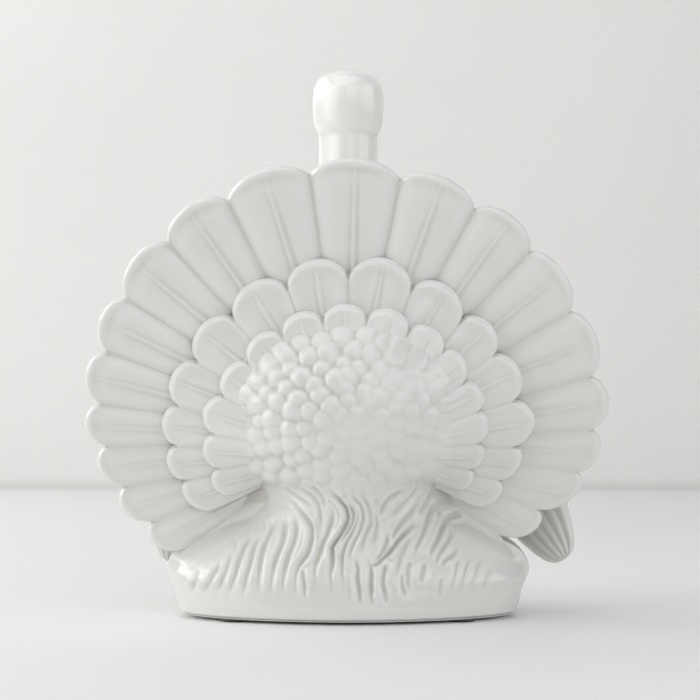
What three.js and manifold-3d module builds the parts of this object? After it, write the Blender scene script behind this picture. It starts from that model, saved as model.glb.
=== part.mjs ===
// A glazed ceramic turkey figure, built as the separate castings that a potter lutes together.
// Units are millimetres. +Z is up, the bird faces -Y and its fanned tail faces +Y.
// The origin is on the table, under the middle of the figure.
import * as THREE from "three";
import { mergeVertices } from "three/addons/utils/BufferGeometryUtils.js";
import Module from "manifold-3d";

const wasm = await Module();
wasm.setup();

// Sizes that the castings share
const WALL = 5; // a drain-cast wall
const LUTE_GAP = 0.3; // the slip line between two castings
const CUT_OVERRUN = 4; // how far a cutting solid runs past what it cuts
const MERGE_REACH = 0.001; // points as near as this are one

// Foot pads and plinth
const PAD_RADIUS = 7;
const PAD_THICKNESS = 1.4;
const PLINTH_HEIGHT = 15;
const PLINTH_SIDE_INSET = 3; // how far it stands back from the body's foot at each side
const PLINTH_END_PROUD = 2.5; // how far it stands out past it at the front and the rear
const PLINTH_FOOT_WIDTH = 17; // from the outline in to the hole

// Hollow body, from the plinth to the top of the back
const BODY_HEIGHT = 157;
const BODY_HALF_WIDTH = 97;
const BODY_FORWARD = 30; // from the plane of the tail forward to the body's widest place
const BREAST_DEPTH = 104; // from the plane of the tail forward
const RUMP_DEPTH = 51; // from the plane of the tail back

// The tail's own plane: it leans back, and every tail piece is laid out on it
const TAIL_RISE = 77; // height of the tail's centre above the body's foot
const TAIL_OFFSET = 29.6; // how far behind the origin the plane passes, at that height
const TAIL_LEAN = THREE.MathUtils.degToRad(9);
const TAIL_RADIUS = 150.7;
const TAIL_THICKNESS = 8;
const TAIL_NOTCH_DEPTH = 7.5; // from a feather's tip in to the notch beside it
const TAIL_CURL = 7; // how far the tips curl back
const TAIL_EDGE_ROUND = 4;
const FEATHER_CROWN = 1.8; // how far a feather swells between its edges

// Rows of coverts, each lying on the one outside it, and showing past the round of the rump
const MAJOR_ROW_SHOWING = 29.75;
const MINOR_ROW_SHOWING = 6.25;
const FRONT_ROW_SHOWING = 34.25;
const COVERT_NOTCH_DEPTH = 7;
const COVERT_EDGE_ROUND = 3;
const COVERT_STEP = 4.5; // height of a row's tip above what it lies on

// Neck and head
const NECK_SEAT_DEPTH = 44; // how far below the top of the back the neck's foot starts
const NECK_LENGTH = 131;
const NECK_RADIUS = 16.5;
const NECK_FORWARD = 60; // from the plane of the tail forward to its axis, at the top of the back
const HEAD_PLUG_DEPTH = 7;
const SKULL_HEIGHT = 34;
const SKULL_HALF_WIDTH = 19.5;
const FACE_LENGTH = 38; // from the neck's axis to the root of the beak
const BEAK_LENGTH = 24;
const BEAK_ROOT_RADIUS = 8.5;
const SNOOD_LENGTH = 30;
const SNOOD_RADIUS = 3.4;
const WATTLE_LENGTH = 34;
const WATTLE_RADIUS = 8.5;
const BEARD_LENGTH = 44;
const BEARD_RADIUS = 6;

// Wings: each hangs from the shoulder to a tip that stands clear of the flank
const WING_SPREAD_LEFT = 1;
const WING_SPREAD_RIGHT = 22;
const WING_HALF_CHORD = 33;
const WING_HALF_THICKNESS = 8;

// Feather edges, in degrees from straight up, positive to the bird's left
const TAIL_NOTCHES = [124, 112.5, 101.5, 91, 81, 69, 56.5, 41.5, 26, 8, -11, -28, -43, -59, -74.5, -87,
  -97.5, -110, -122];
const MAJOR_NOTCHES = [117, 103, 90.5, 77, 61, 42, 21, 0, -22, -42, -58, -75, -91, -104, -117];
const MINOR_NOTCHES = [114, 100, 84, 67, 49, 30, 11, -8, -27, -44, -60, -74, -88, -101, -113];
const FRONT_NOTCHES = [104, 91, 78, 65, 52, 39, 26, 13, 0, -13, -26, -39, -52, -65, -78, -91, -104];

// How finely the curved faces are divided
const BODY_SEGMENTS = 40;
const BODY_LEVELS = 18;
const NECK_SEGMENTS = 24;
const NECK_LEVELS = 9;
const FEATHER_COLUMNS = 5;
const ROW_COLUMNS = 4;
const WING_SEGMENTS = 18;
const WING_STATIONS = 12;
const LUMP_SEGMENTS = 14;
const LUMP_LEVELS = 9;
const LIMB_SEGMENTS = 10;
const LIMB_STATIONS = 9;

// Points and faces into solids

// Shared points merge, flat faces drop out, and the faces turn outwards.
function toSolid(points, faces) {
  const corners = new Float32Array(faces.length * 9);
  faces.flat().forEach((index, i) => points[index].toArray(corners, i * 3));
  const geometry = new THREE.BufferGeometry();
  geometry.setAttribute("position", new THREE.BufferAttribute(corners, 3));
  const merged = mergeVertices(geometry, MERGE_REACH);
  const index = merged.index.array;
  const kept = [];
  for (let i = 0; i < index.length; i += 3) {
    const [a, b, c] = [index[i], index[i + 1], index[i + 2]];
    if (a !== b && b !== c && c !== a) kept.push([a, b, c]);
  }
  const place = merged.attributes.position;
  const [p, q, r] = [new THREE.Vector3(), new THREE.Vector3(), new THREE.Vector3()];
  let volume = 0;
  for (const [a, b, c] of kept) {
    p.fromBufferAttribute(place, a);
    q.fromBufferAttribute(place, b);
    r.fromBufferAttribute(place, c);
    volume += p.dot(q.cross(r));
  }
  const triVerts = new Uint32Array(kept.flatMap(([a, b, c]) => (volume > 0 ? [a, b, c] : [a, c, b])));
  return new wasm.Manifold(new wasm.Mesh({ numProp: 3, vertProperties: place.array, triVerts }));
}

function fromGeometry(geometry) {
  const place = geometry.toNonIndexed().attributes.position;
  const indices = Array.from({ length: place.count }, (_, i) => i);
  const points = indices.map((i) => new THREE.Vector3().fromBufferAttribute(place, i));
  const faces = indices.filter((i) => i % 3 === 0).map((i) => [i, i + 1, i + 2]);
  return toSolid(points, faces);
}

// The two faces of a four-cornered patch.
function patch(a, b, c, d) {
  return [[a, b, c], [a, c, d]];
}

// A solid whose skin runs from ring to ring, closed at both ends. Every ring has as many points.
function loft(rings) {
  const count = rings[0].length;
  const points = rings.flat();
  const faces = [];
  for (let ring = 0; ring < rings.length - 1; ring++) {
    for (let i = 0; i < count; i++) {
      const next = (i + 1) % count;
      const low = ring * count;
      faces.push(...patch(low + i, low + next, low + count + next, low + count + i));
    }
  }
  for (const [ring, turned] of [[0, true], [rings.length - 1, false]]) {
    const sum = rings[ring].reduce((total, p) => total.add(p), new THREE.Vector3());
    const middle = points.push(sum.divideScalar(count)) - 1;
    for (let i = 0; i < count; i++) {
      const [a, b] = [ring * count + i, ring * count + ((i + 1) % count)];
      faces.push(turned ? [middle, b, a] : [middle, a, b]);
    }
  }
  return toSolid(points, faces);
}

// A plate between two grids of points of the same size, closed round its four sides.
function plate(front, back) {
  const lastRow = front.length - 1;
  const lastColumn = front[0].length - 1;
  const points = [...front.flat(), ...back.flat()];
  const far = points.length / 2;
  const at = (i, j) => i * (lastColumn + 1) + j;
  const faces = [];
  for (let i = 0; i < lastRow; i++) {
    for (let j = 0; j < lastColumn; j++) {
      const [a, b, c, d] = [at(i, j), at(i, j + 1), at(i + 1, j + 1), at(i + 1, j)];
      faces.push(...patch(a, b, c, d), ...patch(far + d, far + c, far + b, far + a));
    }
    const [near, nearNext] = [at(i, 0), at(i + 1, 0)];
    const [end, endNext] = [at(i, lastColumn), at(i + 1, lastColumn)];
    faces.push(...patch(nearNext, far + nearNext, far + near, near));
    faces.push(...patch(end, far + end, far + endNext, endNext));
  }
  for (let j = 0; j < lastColumn; j++) {
    const [near, nearNext] = [at(0, j), at(0, j + 1)];
    const [end, endNext] = [at(lastRow, j), at(lastRow, j + 1)];
    faces.push(...patch(near, far + near, far + nearNext, nearNext));
    faces.push(...patch(endNext, far + endNext, far + end, end));
  }
  return toSolid(points, faces);
}

function ellipsoid(centre, halfX, halfY, halfZ, tilt = 0) {
  const geometry = new THREE.SphereGeometry(1, LUMP_SEGMENTS, LUMP_LEVELS);
  geometry.scale(halfX, halfY, halfZ).rotateX(tilt).translate(centre.x, centre.y, centre.z);
  return fromGeometry(geometry);
}

// A tapering round limb along a list of points, with a radius at each and its width's share of that.
function limb(points, radii, widthShare = 1) {
  const path = new THREE.CatmullRomCurve3(points);
  const size = smoothShares(radii.map((radius) => [radius]));
  const rings = [];
  for (let i = 0; i <= LIMB_STATIONS; i++) {
    const share = i / LIMB_STATIONS;
    const middle = path.getPoint(share);
    const along = path.getTangent(share);
    const across = new THREE.Vector3(1, 0, 0).addScaledVector(along, -along.x).normalize();
    const over = new THREE.Vector3().crossVectors(along, across);
    const [radius] = size(share);
    rings.push(Array.from({ length: LIMB_SEGMENTS }, (_, k) => {
      const turn = (k / LIMB_SEGMENTS) * 2 * Math.PI;
      return middle.clone().addScaledVector(across, radius * widthShare * Math.cos(turn))
        .addScaledVector(over, radius * Math.sin(turn));
    }));
  }
  return loft(rings);
}

// Points given in shares of a length, from a root.
function pointsFrom(root, length, shares) {
  return shares.map(([x, y, z]) => new THREE.Vector3(x, y, z).multiplyScalar(length).add(root));
}

// A smooth table: each row is a knot, and the result gives every column at a share of the way along.
function smoothShares(rows) {
  const curves = rows[0].map((_, column) => (
    new THREE.SplineCurve(rows.map((row, i) => new THREE.Vector2(i, row[column])))));
  return (share) => curves.map((curve) => curve.getPoint(share).y);
}

function mix(from, to, share) {
  return from + (to - from) * share;
}

function smooth(from, to, value) {
  return THREE.MathUtils.smoothstep(value, from, to);
}

// A plan outline's point at a turn from the rear, as x and y on a rounded form with the given reach
// to each side, to the front and to the rear. An exponent of 2 is an ellipse, and more is fuller.
const FULL_EXPONENT = 2.25;
const RIDGE_EXPONENT = 1.75;
function planPoint(turn, halfWidth, front, rear, frontExponent, rearExponent) {
  const [sine, cosine] = [Math.sin(turn), Math.cos(turn)];
  const power = 2 / (cosine < 0 ? frontExponent : rearExponent);
  const depth = cosine < 0 ? -front : rear;
  return [
    halfWidth * Math.sign(sine) * Math.abs(sine) ** power,
    depth * Math.abs(cosine) ** power,
  ];
}

function planRing(height, middleY, reach, segments, frontExponent, rearExponent) {
  return Array.from({ length: segments }, (_, i) => {
    const turn = (i / segments) * 2 * Math.PI;
    const [x, y] = planPoint(turn, reach.side, reach.front, reach.rear, frontExponent, rearExponent);
    return new THREE.Vector3(x, middleY + y, height);
  });
}

// Levels that follow from the sizes
const PLINTH_BOTTOM = PAD_THICKNESS + LUTE_GAP;
const PLINTH_TOP = PLINTH_BOTTOM + PLINTH_HEIGHT;
const BODY_BOTTOM = PLINTH_TOP + LUTE_GAP;
const BODY_TOP = BODY_BOTTOM + BODY_HEIGHT;
const TAIL_CENTRE_HEIGHT = BODY_BOTTOM + TAIL_RISE;
const NECK_BOTTOM = BODY_TOP - NECK_SEAT_DEPTH;
const NECK_TOP = NECK_BOTTOM + NECK_LENGTH;
const HEAD_SEAT = NECK_TOP + LUTE_GAP;
const HEAD_TOP = HEAD_SEAT + SKULL_HEIGHT;

// The tail plane's place along Y at a height.
function tailPlaneY(height) {
  return TAIL_OFFSET + (height - TAIL_CENTRE_HEIGHT) * Math.tan(TAIL_LEAN);
}
const FOOT_MIDDLE = tailPlaneY(BODY_BOTTOM);
const NECK_Y = tailPlaneY(BODY_TOP) - NECK_FORWARD;

// The body and the plinth

// From the foot up: the height, half width, place of the widest section, breast depth, rump depth,
// and how full the rump's plan outline is, in full exponents. The flanks are swept forward at its waist.
const bodyShares = smoothShares([
  [0, 0.965, 0.07, 0.615, 1.02, 0.82],
  [0.05, 0.99, 0.14, 0.635, 1, 0.8],
  [0.12, 0.95, 0.42, 0.67, 0.93, 0.78],
  [0.17, 0.84, 0.66, 0.73, 0.88, 0.78],
  [0.22, 0.73, 0.84, 0.79, 0.86, 0.76],
  [0.29, 0.65, 0.96, 0.87, 0.87, 0.78],
  [0.36, 0.64, 1, 0.93, 0.91, 0.82],
  [0.5, 0.765, 1, 1, 1, 0.96],
  [0.63, 0.805, 0.93, 0.97, 0.94, 1],
  [0.76, 0.7, 0.74, 0.84, 0.76, 1],
  [0.86, 0.52, 0.54, 0.68, 0.53, 1],
  [0.94, 0.32, 0.36, 0.42, 0.2, 1],
  [1, 0, 0.14, 0.04, -0.08, 1],
]);

// The body's height, its reach from its widest section, grown or shrunk by an offset, and how full
// its outline is at the rear.
const THIN_REACH_SHARE = 4;
function bodyLevel(share, offset) {
  const [heightShare, sideShare, forwardShare, frontShare, rearShare, fullShare] = bodyShares(share);
  const grown = (reach) => Math.max(reach + offset * Math.min(1, sideShare * THIN_REACH_SHARE), 0);
  const forward = BODY_FORWARD * forwardShare;
  return {
    height: BODY_BOTTOM + (BODY_HEIGHT + offset) * heightShare,
    middleY: tailPlaneY(BODY_BOTTOM + BODY_HEIGHT * heightShare) - forward,
    rearExponent: FULL_EXPONENT * fullShare,
    reach: {
      side: grown(BODY_HALF_WIDTH * sideShare),
      front: grown(BREAST_DEPTH * frontShare - forward),
      rear: grown(RUMP_DEPTH * rearShare + forward),
    },
  };
}

// The body's rounded form, run down past its foot by an overrun.
function bodyForm(offset, overrun = 0) {
  const rings = [];
  for (let level = 0; level <= BODY_LEVELS; level++) {
    const { height, middleY, reach, rearExponent } = bodyLevel(level / BODY_LEVELS, offset);
    rings.push(planRing(height, middleY, reach, BODY_SEGMENTS, FULL_EXPONENT, rearExponent));
  }
  if (overrun > 0) rings.unshift(rings[0].map((p) => p.clone().setZ(p.z - overrun)));
  return loft(rings);
}

// A point that stands off the body's face, at a share of the way up and a turn from the rear.
function onBody(share, degrees, standOff) {
  const { height, middleY, reach, rearExponent } = bodyLevel(share, standOff);
  const turn = THREE.MathUtils.degToRad(degrees);
  const [x, y] = planPoint(turn, reach.side, reach.front, reach.rear, FULL_EXPONENT, rearExponent);
  return new THREE.Vector3(x, middleY + y, height);
}

// Up the plinth's outside: the height, and the outline's size at that height.
const PLINTH_OUTLINE_SHARES = [
  [0, 0.967], [0.12, 0.983], [0.4, 0.998], [0.7, 1], [0.92, 0.996], [1, 0.985],
];

// The plinth's outline is as full at the rear as the body's foot.
const FOOT_REAR_EXPONENT = FULL_EXPONENT * bodyShares(0)[5];

// The plinth's reach from the foot's middle at a share of its outline, less an inset.
function plinthReach(share, inset) {
  const [, sideShare, , frontShare, rearShare] = bodyShares(0);
  return {
    side: (BODY_HALF_WIDTH * sideShare - PLINTH_SIDE_INSET) * share - inset,
    front: (BREAST_DEPTH * frontShare + PLINTH_END_PROUD) * share - inset,
    rear: (RUMP_DEPTH * rearShare + PLINTH_END_PROUD) * share - inset,
  };
}

function plinth() {
  const ring = (height, share, inset) => planRing(
    height, FOOT_MIDDLE, plinthReach(share, inset), BODY_SEGMENTS, FULL_EXPONENT, FOOT_REAR_EXPONENT,
  );
  const outside = loft(PLINTH_OUTLINE_SHARES
    .map(([heightShare, share]) => ring(PLINTH_BOTTOM + PLINTH_HEIGHT * heightShare, share, 0)));
  const footShare = PLINTH_OUTLINE_SHARES[0][1];
  const hole = loft([PLINTH_BOTTOM - CUT_OVERRUN, PLINTH_TOP + CUT_OVERRUN]
    .map((height) => ring(height, footShare, PLINTH_FOOT_WIDTH)));
  return outside.subtract(hole);
}

// A felt disc under the middle of the foot's width, at a turn from the rear.
const PAD_TURNS = { front_left: 130, front_right: -130, rear_left: 50, rear_right: -50 };
const PAD_SIDES = 16;
function footPad(degrees) {
  const { side, front, rear } = plinthReach(PLINTH_OUTLINE_SHARES[0][1], PLINTH_FOOT_WIDTH / 2);
  const turn = THREE.MathUtils.degToRad(degrees);
  const [x, y] = planPoint(turn, side, front, rear, FULL_EXPONENT, FOOT_REAR_EXPONENT);
  const disc = new THREE.CylinderGeometry(PAD_RADIUS, PAD_RADIUS, PAD_THICKNESS, PAD_SIDES);
  disc.rotateX(Math.PI / 2).translate(x, FOOT_MIDDLE + y, PAD_THICKNESS / 2);
  return fromGeometry(disc);
}

// The tail

// A point on the tail: the angle from straight up, the distance from the tail's centre, and the
// height above the tail plane, which is positive at the back.
function onTail(angle, radius, height) {
  const back = height + TAIL_CURL * (radius / TAIL_RADIUS) ** 3;
  const up = radius * Math.cos(angle);
  return new THREE.Vector3(
    radius * Math.sin(angle),
    TAIL_OFFSET + up * Math.sin(TAIL_LEAN) + back * Math.cos(TAIL_LEAN),
    TAIL_CENTRE_HEIGHT + up * Math.cos(TAIL_LEAN) - back * Math.sin(TAIL_LEAN),
  );
}

// The round of the rump, which the tail and its coverts stand round: its reach from the tail's
// centre, from the body's width at the sides and from the body's rise over the centre at the top.
const RUMP_SIDE_SHARE = 0.72;
const RUMP_TOP_SHARE = 0.87;
function rumpReach(angle) {
  const side = BODY_HALF_WIDTH * RUMP_SIDE_SHARE;
  const top = (BODY_TOP - TAIL_CENTRE_HEIGHT) * RUMP_TOP_SHARE;
  return Math.hypot(side * Math.sin(angle), top * Math.cos(angle));
}

// Where the hidden roots of the feathers start, in shares of the rump's reach.
const TAIL_ROOT_SHARE = 0.49;
const COVERT_ROOT_SHARE = 0.6;

// The outline of each row of feathers, as shares of its radius at angles in degrees.
const TAIL_OUTLINE_SHARES = [
  [-122, 0.69], [-110, 0.765], [-104, 0.815], [-97, 0.868], [-92, 0.88], [-87, 0.907], [-81, 0.92],
  [-74, 0.932], [-67, 0.94], [-59, 0.952], [-51, 0.958], [-43, 0.974], [-28, 0.982], [-11, 0.992],
  [8, 1], [26, 1], [41, 0.996], [56, 0.978], [69, 0.955], [76, 0.943], [86, 0.92], [91, 0.9],
  [101, 0.855], [112, 0.802], [118, 0.775], [124, 0.74],
];
const MAJOR_OUTLINE_SHARES = [
  [-117, 0.82], [-104, 0.885], [-97, 0.92], [-91, 0.955], [-83, 1], [-75, 0.99], [-42, 0.985],
  [-22, 1], [-11, 1.01], [0, 1], [77, 1], [90, 0.98], [103, 0.95], [117, 0.87],
];
const MINOR_OUTLINE_SHARES = [
  [-113, 0.88], [-74, 1], [-60, 0.99], [-44, 1.02], [-30, 1.01], [0, 1], [60, 1], [75, 1.03],
  [92, 1], [107, 0.98], [114, 0.95],
];
function envelope(radius, outlineShares, angle) {
  const degrees = THREE.MathUtils.radToDeg(angle);
  const found = outlineShares.findIndex(([knot]) => knot >= degrees);
  const next = found < 0 ? outlineShares.length - 1 : Math.max(found, 1);
  const [[from, fromShare], [to, toShare]] = [outlineShares[next - 1], outlineShares[next]];
  return radius * mix(fromShare, toShare, (degrees - from) / (to - from));
}

// Columns across a row of feathers: the angle, and side, from -1 to 1 between a feather's two edges.
function featherColumns(notches, perFeather) {
  const columns = [];
  for (let feather = 0; feather < notches.length - 1; feather++) {
    for (let step = feather ? 1 : 0; step <= perFeather; step++) {
      const share = step / perFeather;
      const angle = THREE.MathUtils.degToRad(mix(notches[feather], notches[feather + 1], share));
      columns.push({ angle, side: 2 * share - 1 });
    }
  }
  return columns;
}

// How far a feather's rounded tip has drawn back: 0 at its middle and 1 at its two edges.
const TIP_FULLNESS_SHARE = 0.88;
function scallop(side) {
  const drawn = 1 - Math.sqrt(1 - TIP_FULLNESS_SHARE * side * side);
  return drawn / (1 - Math.sqrt(1 - TIP_FULLNESS_SHARE));
}

// Along a feather: the radius, and the share of its thickness left there by the rounded tip.
const EDGE_SHARES = [0.62, 1];
function featherStations(inner, tip, round, spans) {
  const stations = [];
  for (let i = 0; i <= spans; i++) stations.push([mix(inner, tip - round, i / spans), 1]);
  for (const share of EDGE_SHARES) {
    stations.push([tip - round * (1 - share), Math.sqrt(1 - share * share)]);
  }
  return stations;
}

// The fan of tail feathers, grown all over by an offset, before the body is cut out of it.
const TAIL_SPANS = 3;
function tailForm(offset) {
  const face = (way) => featherColumns(TAIL_NOTCHES, FEATHER_COLUMNS).map(({ angle, side }) => {
    const drawn = TAIL_NOTCH_DEPTH * scallop(side);
    const tip = envelope(TAIL_RADIUS, TAIL_OUTLINE_SHARES, angle) - drawn + offset;
    const half = TAIL_THICKNESS / 2 + FEATHER_CROWN * (1 - side * side) + offset;
    return featherStations(rumpReach(angle) * TAIL_ROOT_SHARE - offset, tip, TAIL_EDGE_ROUND, TAIL_SPANS)
      .map(([radius, leftShare]) => onTail(angle, radius, way * half * leftShare));
  });
  return plate(face(-1), face(1));
}

// The stack of rows is full over the top of the tail and thins towards its low ends.
const STACK_LOW_SHARE = 0.45;
const STACK_FULL_ANGLE = THREE.MathUtils.degToRad(80);
const STACK_LOW_ANGLE = THREE.MathUtils.degToRad(120);
function stackShare(angle) {
  return mix(1, STACK_LOW_SHARE, smooth(STACK_FULL_ANGLE, STACK_LOW_ANGLE, Math.abs(angle)));
}

// A row's face above the tail plane, between feathers. It rises by a share of the way inwards.
const ROW_SLOPE_SHARE = 0.2;
function rowFace(row, radius, angle) {
  const inwards = Math.max(0, rumpReach(angle) + row.showing - radius);
  const rise = COVERT_STEP + ROW_SLOPE_SHARE * inwards;
  return rowBase(row, radius, angle) + rise * stackShare(angle);
}

function rowBase(row, radius, angle) {
  if (row.liesOn) return rowFace(row.liesOn, radius, angle) + FEATHER_CROWN;
  return TAIL_THICKNESS / 2 + FEATHER_CROWN;
}

const majorRow = {
  showing: MAJOR_ROW_SHOWING, notches: MAJOR_NOTCHES, outlineShares: MAJOR_OUTLINE_SHARES,
};
const minorRow = {
  showing: MINOR_ROW_SHOWING, notches: MINOR_NOTCHES, outlineShares: MINOR_OUTLINE_SHARES,
  liesOn: majorRow,
};
const frontRow = {
  showing: FRONT_ROW_SHOWING, notches: FRONT_NOTCHES, outlineShares: MAJOR_OUTLINE_SHARES,
};

// A row of coverts as a shingled ring, on the back of the tail (way 1) or on its front (way -1),
// grown all over by an offset.
const ROW_SPANS = 2;
function covertRow(row, way, offset = 0) {
  const face = (outer) => featherColumns(row.notches, ROW_COLUMNS).map(({ angle, side }) => {
    const drawn = COVERT_NOTCH_DEPTH * scallop(side);
    const tip = envelope(rumpReach(angle) + row.showing, row.outlineShares, angle) - drawn + offset;
    const root = rumpReach(angle) * COVERT_ROOT_SHARE - offset;
    const stations = featherStations(root, tip, COVERT_EDGE_ROUND, ROW_SPANS);
    return stations.map(([radius, leftShare]) => {
      const under = rowBase(row, radius, angle) + LUTE_GAP - offset;
      const swell = FEATHER_CROWN * (1 - side * side) + offset;
      const thick = rowFace(row, radius, angle) + swell - under;
      return onTail(angle, radius, way * (under + outer * thick * leftShare));
    });
  });
  return plate(face(0), face(1));
}

// The neck

// From its foot up: half width, front and rear, in neck radii.
const neckShares = smoothShares([
  [2.05, 2.05, 2], [1.8, 1.86, 1.5], [1.48, 1.58, 1.15], [1.22, 1.35, 1.02],
  [1.07, 1.18, 1], [1, 1.08, 1], [0.98, 1.02, 1], [0.98, 1.02, 1],
]);

function neckRing(share, offset) {
  const [sideShare, frontShare, rearShare] = neckShares(share);
  return planRing(mix(NECK_BOTTOM, NECK_TOP, share), NECK_Y, {
    side: NECK_RADIUS * sideShare + offset,
    front: NECK_RADIUS * frontShare + offset,
    rear: NECK_RADIUS * rearShare + offset,
  }, NECK_SEGMENTS, 2, RIDGE_EXPONENT);
}

// The neck's top ring, moved to a height.
function neckTopRing(height, offset) {
  return neckRing(1, offset).map((p) => p.setZ(height));
}

// The neck's rounded form, with its top end moved up by an overrun.
function neckForm(offset, overrun = 0) {
  const rings = [];
  for (let level = 0; level <= NECK_LEVELS; level++) rings.push(neckRing(level / NECK_LEVELS, offset));
  if (overrun > 0) rings.push(neckTopRing(NECK_TOP + overrun, offset));
  return loft(rings);
}

// The head

// From the seat up: height in skull heights, then side, front and rear in skull half widths.
const skullShares = smoothShares([
  [0, 0.88, 0.92, 0.87],
  [0.1, 0.95, 1.06, 0.9],
  [0.24, 0.985, 1.3, 0.92],
  [0.42, 1, 1.5, 0.95],
  [0.6, 0.985, 1.42, 0.96],
  [0.76, 0.93, 1.16, 0.9],
  [0.88, 0.77, 0.8, 0.74],
  [0.955, 0.46, 0.46, 0.46],
  [1, 0, 0, 0],
]);
const SKULL_LEVELS = 9;

function skullForm(offset) {
  const rings = [neckTopRing(HEAD_SEAT, offset)];
  for (let level = 1; level <= SKULL_LEVELS; level++) {
    const [heightShare, sideShare, frontShare, rearShare] = skullShares(level / SKULL_LEVELS);
    const grown = (share) => (
      Math.max(SKULL_HALF_WIDTH * share + offset * Math.min(1, share * THIN_REACH_SHARE), 0));
    rings.push(planRing(mix(HEAD_SEAT, HEAD_TOP + offset, heightShare), NECK_Y, {
      side: grown(sideShare), front: grown(frontShare), rear: grown(rearShare),
    }, NECK_SEGMENTS, 2, RIDGE_EXPONENT));
  }
  return loft(rings);
}

// A point of the face: to the left in skull half widths, forward in face lengths, up in skull heights.
function onFace(leftShare, forwardShare, upShare) {
  return new THREE.Vector3(
    SKULL_HALF_WIDTH * leftShare,
    NECK_Y - FACE_LENGTH * forwardShare,
    HEAD_SEAT + SKULL_HEIGHT * upShare,
  );
}

// Each limb's path in shares of its length from its root, and its radii in shares of its own.
const BEAK_PATH_SHARES = [[0, 0, 0], [0, -0.4, 0.01], [0, -0.8, -0.1], [0, -1.16, -0.42]];
const BEAK_RADIUS_SHARES = [1, 0.82, 0.55, 0.16];
const BEAK_WIDTH_SHARE = 0.9;

function beak(offset) {
  const points = pointsFrom(onFace(0, 0.86, 0.52), BEAK_LENGTH, BEAK_PATH_SHARES);
  const radii = BEAK_RADIUS_SHARES.map((share) => BEAK_ROOT_RADIUS * share + offset);
  return limb(points, radii, BEAK_WIDTH_SHARE);
}

// The head's form, grown by an offset: skull, face, cheeks, eyes and beak.
const FACE_TILT = 0.22;
function headForm(offset) {
  const lump = (place, sideShare, frontShare, upShare, tilt) => ellipsoid(place,
    SKULL_HALF_WIDTH * sideShare + offset, FACE_LENGTH * frontShare + offset,
    SKULL_HEIGHT * upShare + offset, tilt);
  let form = skullForm(offset).add(beak(offset));
  form = form.add(lump(onFace(0, 0.62, 0.5), 0.66, 0.42, 0.33, FACE_TILT));
  for (const way of [-1, 1]) {
    form = form.add(lump(onFace(way * 0.55, 0.34, 0.3), 0.4, 0.32, 0.24));
    form = form.add(lump(onFace(way * 0.6, 0.5, 0.66), 0.2, 0.13, 0.1));
  }
  return form;
}

// The head's casting: its form over a plug that fits the neck's bore, hollow from the plug up.
function head() {
  const plugBottom = NECK_TOP - HEAD_PLUG_DEPTH;
  const middle = HEAD_SEAT + SKULL_HEIGHT / 2;
  const plug = loft([neckTopRing(plugBottom, -WALL - LUTE_GAP), neckTopRing(middle, -WALL - LUTE_GAP)]);
  const drain = loft([
    neckTopRing(plugBottom - CUT_OVERRUN, -2 * WALL),
    neckTopRing(middle, -2 * WALL),
    neckTopRing(HEAD_TOP - 2 * WALL, -2 * WALL - LUTE_GAP),
  ]);
  return headForm(0).add(plug).subtract(drain);
}

const SNOOD_PATH_SHARES = [
  [0, 0.1, -0.02], [0.06, -0.14, 0.08], [0.22, -0.3, -0.06], [0.31, -0.32, -0.38], [0.31, -0.3, -0.8],
];
const SNOOD_RADIUS_SHARES = [0.9, 1.05, 0.9, 1.05, 0.3];

function snood() {
  const points = pointsFrom(onFace(0, 0.94, 0.72), SNOOD_LENGTH, SNOOD_PATH_SHARES);
  const radii = SNOOD_RADIUS_SHARES.map((share) => SNOOD_RADIUS * share);
  return limb(points, radii).subtract(headForm(LUTE_GAP));
}

const WATTLE_PATH_SHARES = [[0, 0.05, 0.1], [0, -0.1, -0.22], [0, -0.14, -0.58], [0, 0, -0.95]];
const WATTLE_RADIUS_SHARES = [0.95, 1.05, 0.95, 0.25];
const WATTLE_WIDTH_SHARE = 0.62;

function wattle() {
  const points = pointsFrom(onFace(0, 0.72, 0.3), WATTLE_LENGTH, WATTLE_PATH_SHARES);
  const radii = WATTLE_RADIUS_SHARES.map((share) => WATTLE_RADIUS * share);
  const form = limb(points, radii, WATTLE_WIDTH_SHARE);
  return form.subtract(headForm(LUTE_GAP)).subtract(neckForm(LUTE_GAP, CUT_OVERRUN));
}

const BEARD_PATH_SHARES = [[0, 0.06, 0.1], [0, -0.1, -0.2], [0, -0.13, -0.6], [0, -0.06, -1]];
const BEARD_RADIUS_SHARES = [0.8, 1.05, 0.9, 0.25];
const BEARD_WIDTH_SHARE = 1.15;

function beard() {
  const points = pointsFrom(onBody(0.65, 180, 0), BEARD_LENGTH, BEARD_PATH_SHARES);
  const radii = BEARD_RADIUS_SHARES.map((share) => BEARD_RADIUS * share);
  return limb(points, radii, BEARD_WIDTH_SHARE).subtract(bodyForm(LUTE_GAP));
}

// The wings

// From the shoulder to the tip: half chord and half thickness, before both ends are rounded off,
// then how far the wing's face looks to the side and to the front.
const wingShares = smoothShares([
  [0.8, 1.1, 0.55, 0.85],
  [1, 1.35, 0.8, 0.6],
  [1, 1.25, 0.88, 0.45],
  [0.8, 0.95, 0.7, 0.7],
  [0.54, 0.65, 0.4, 0.9],
]);
const WING_ROUND_EXPONENT = 3;

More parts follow.
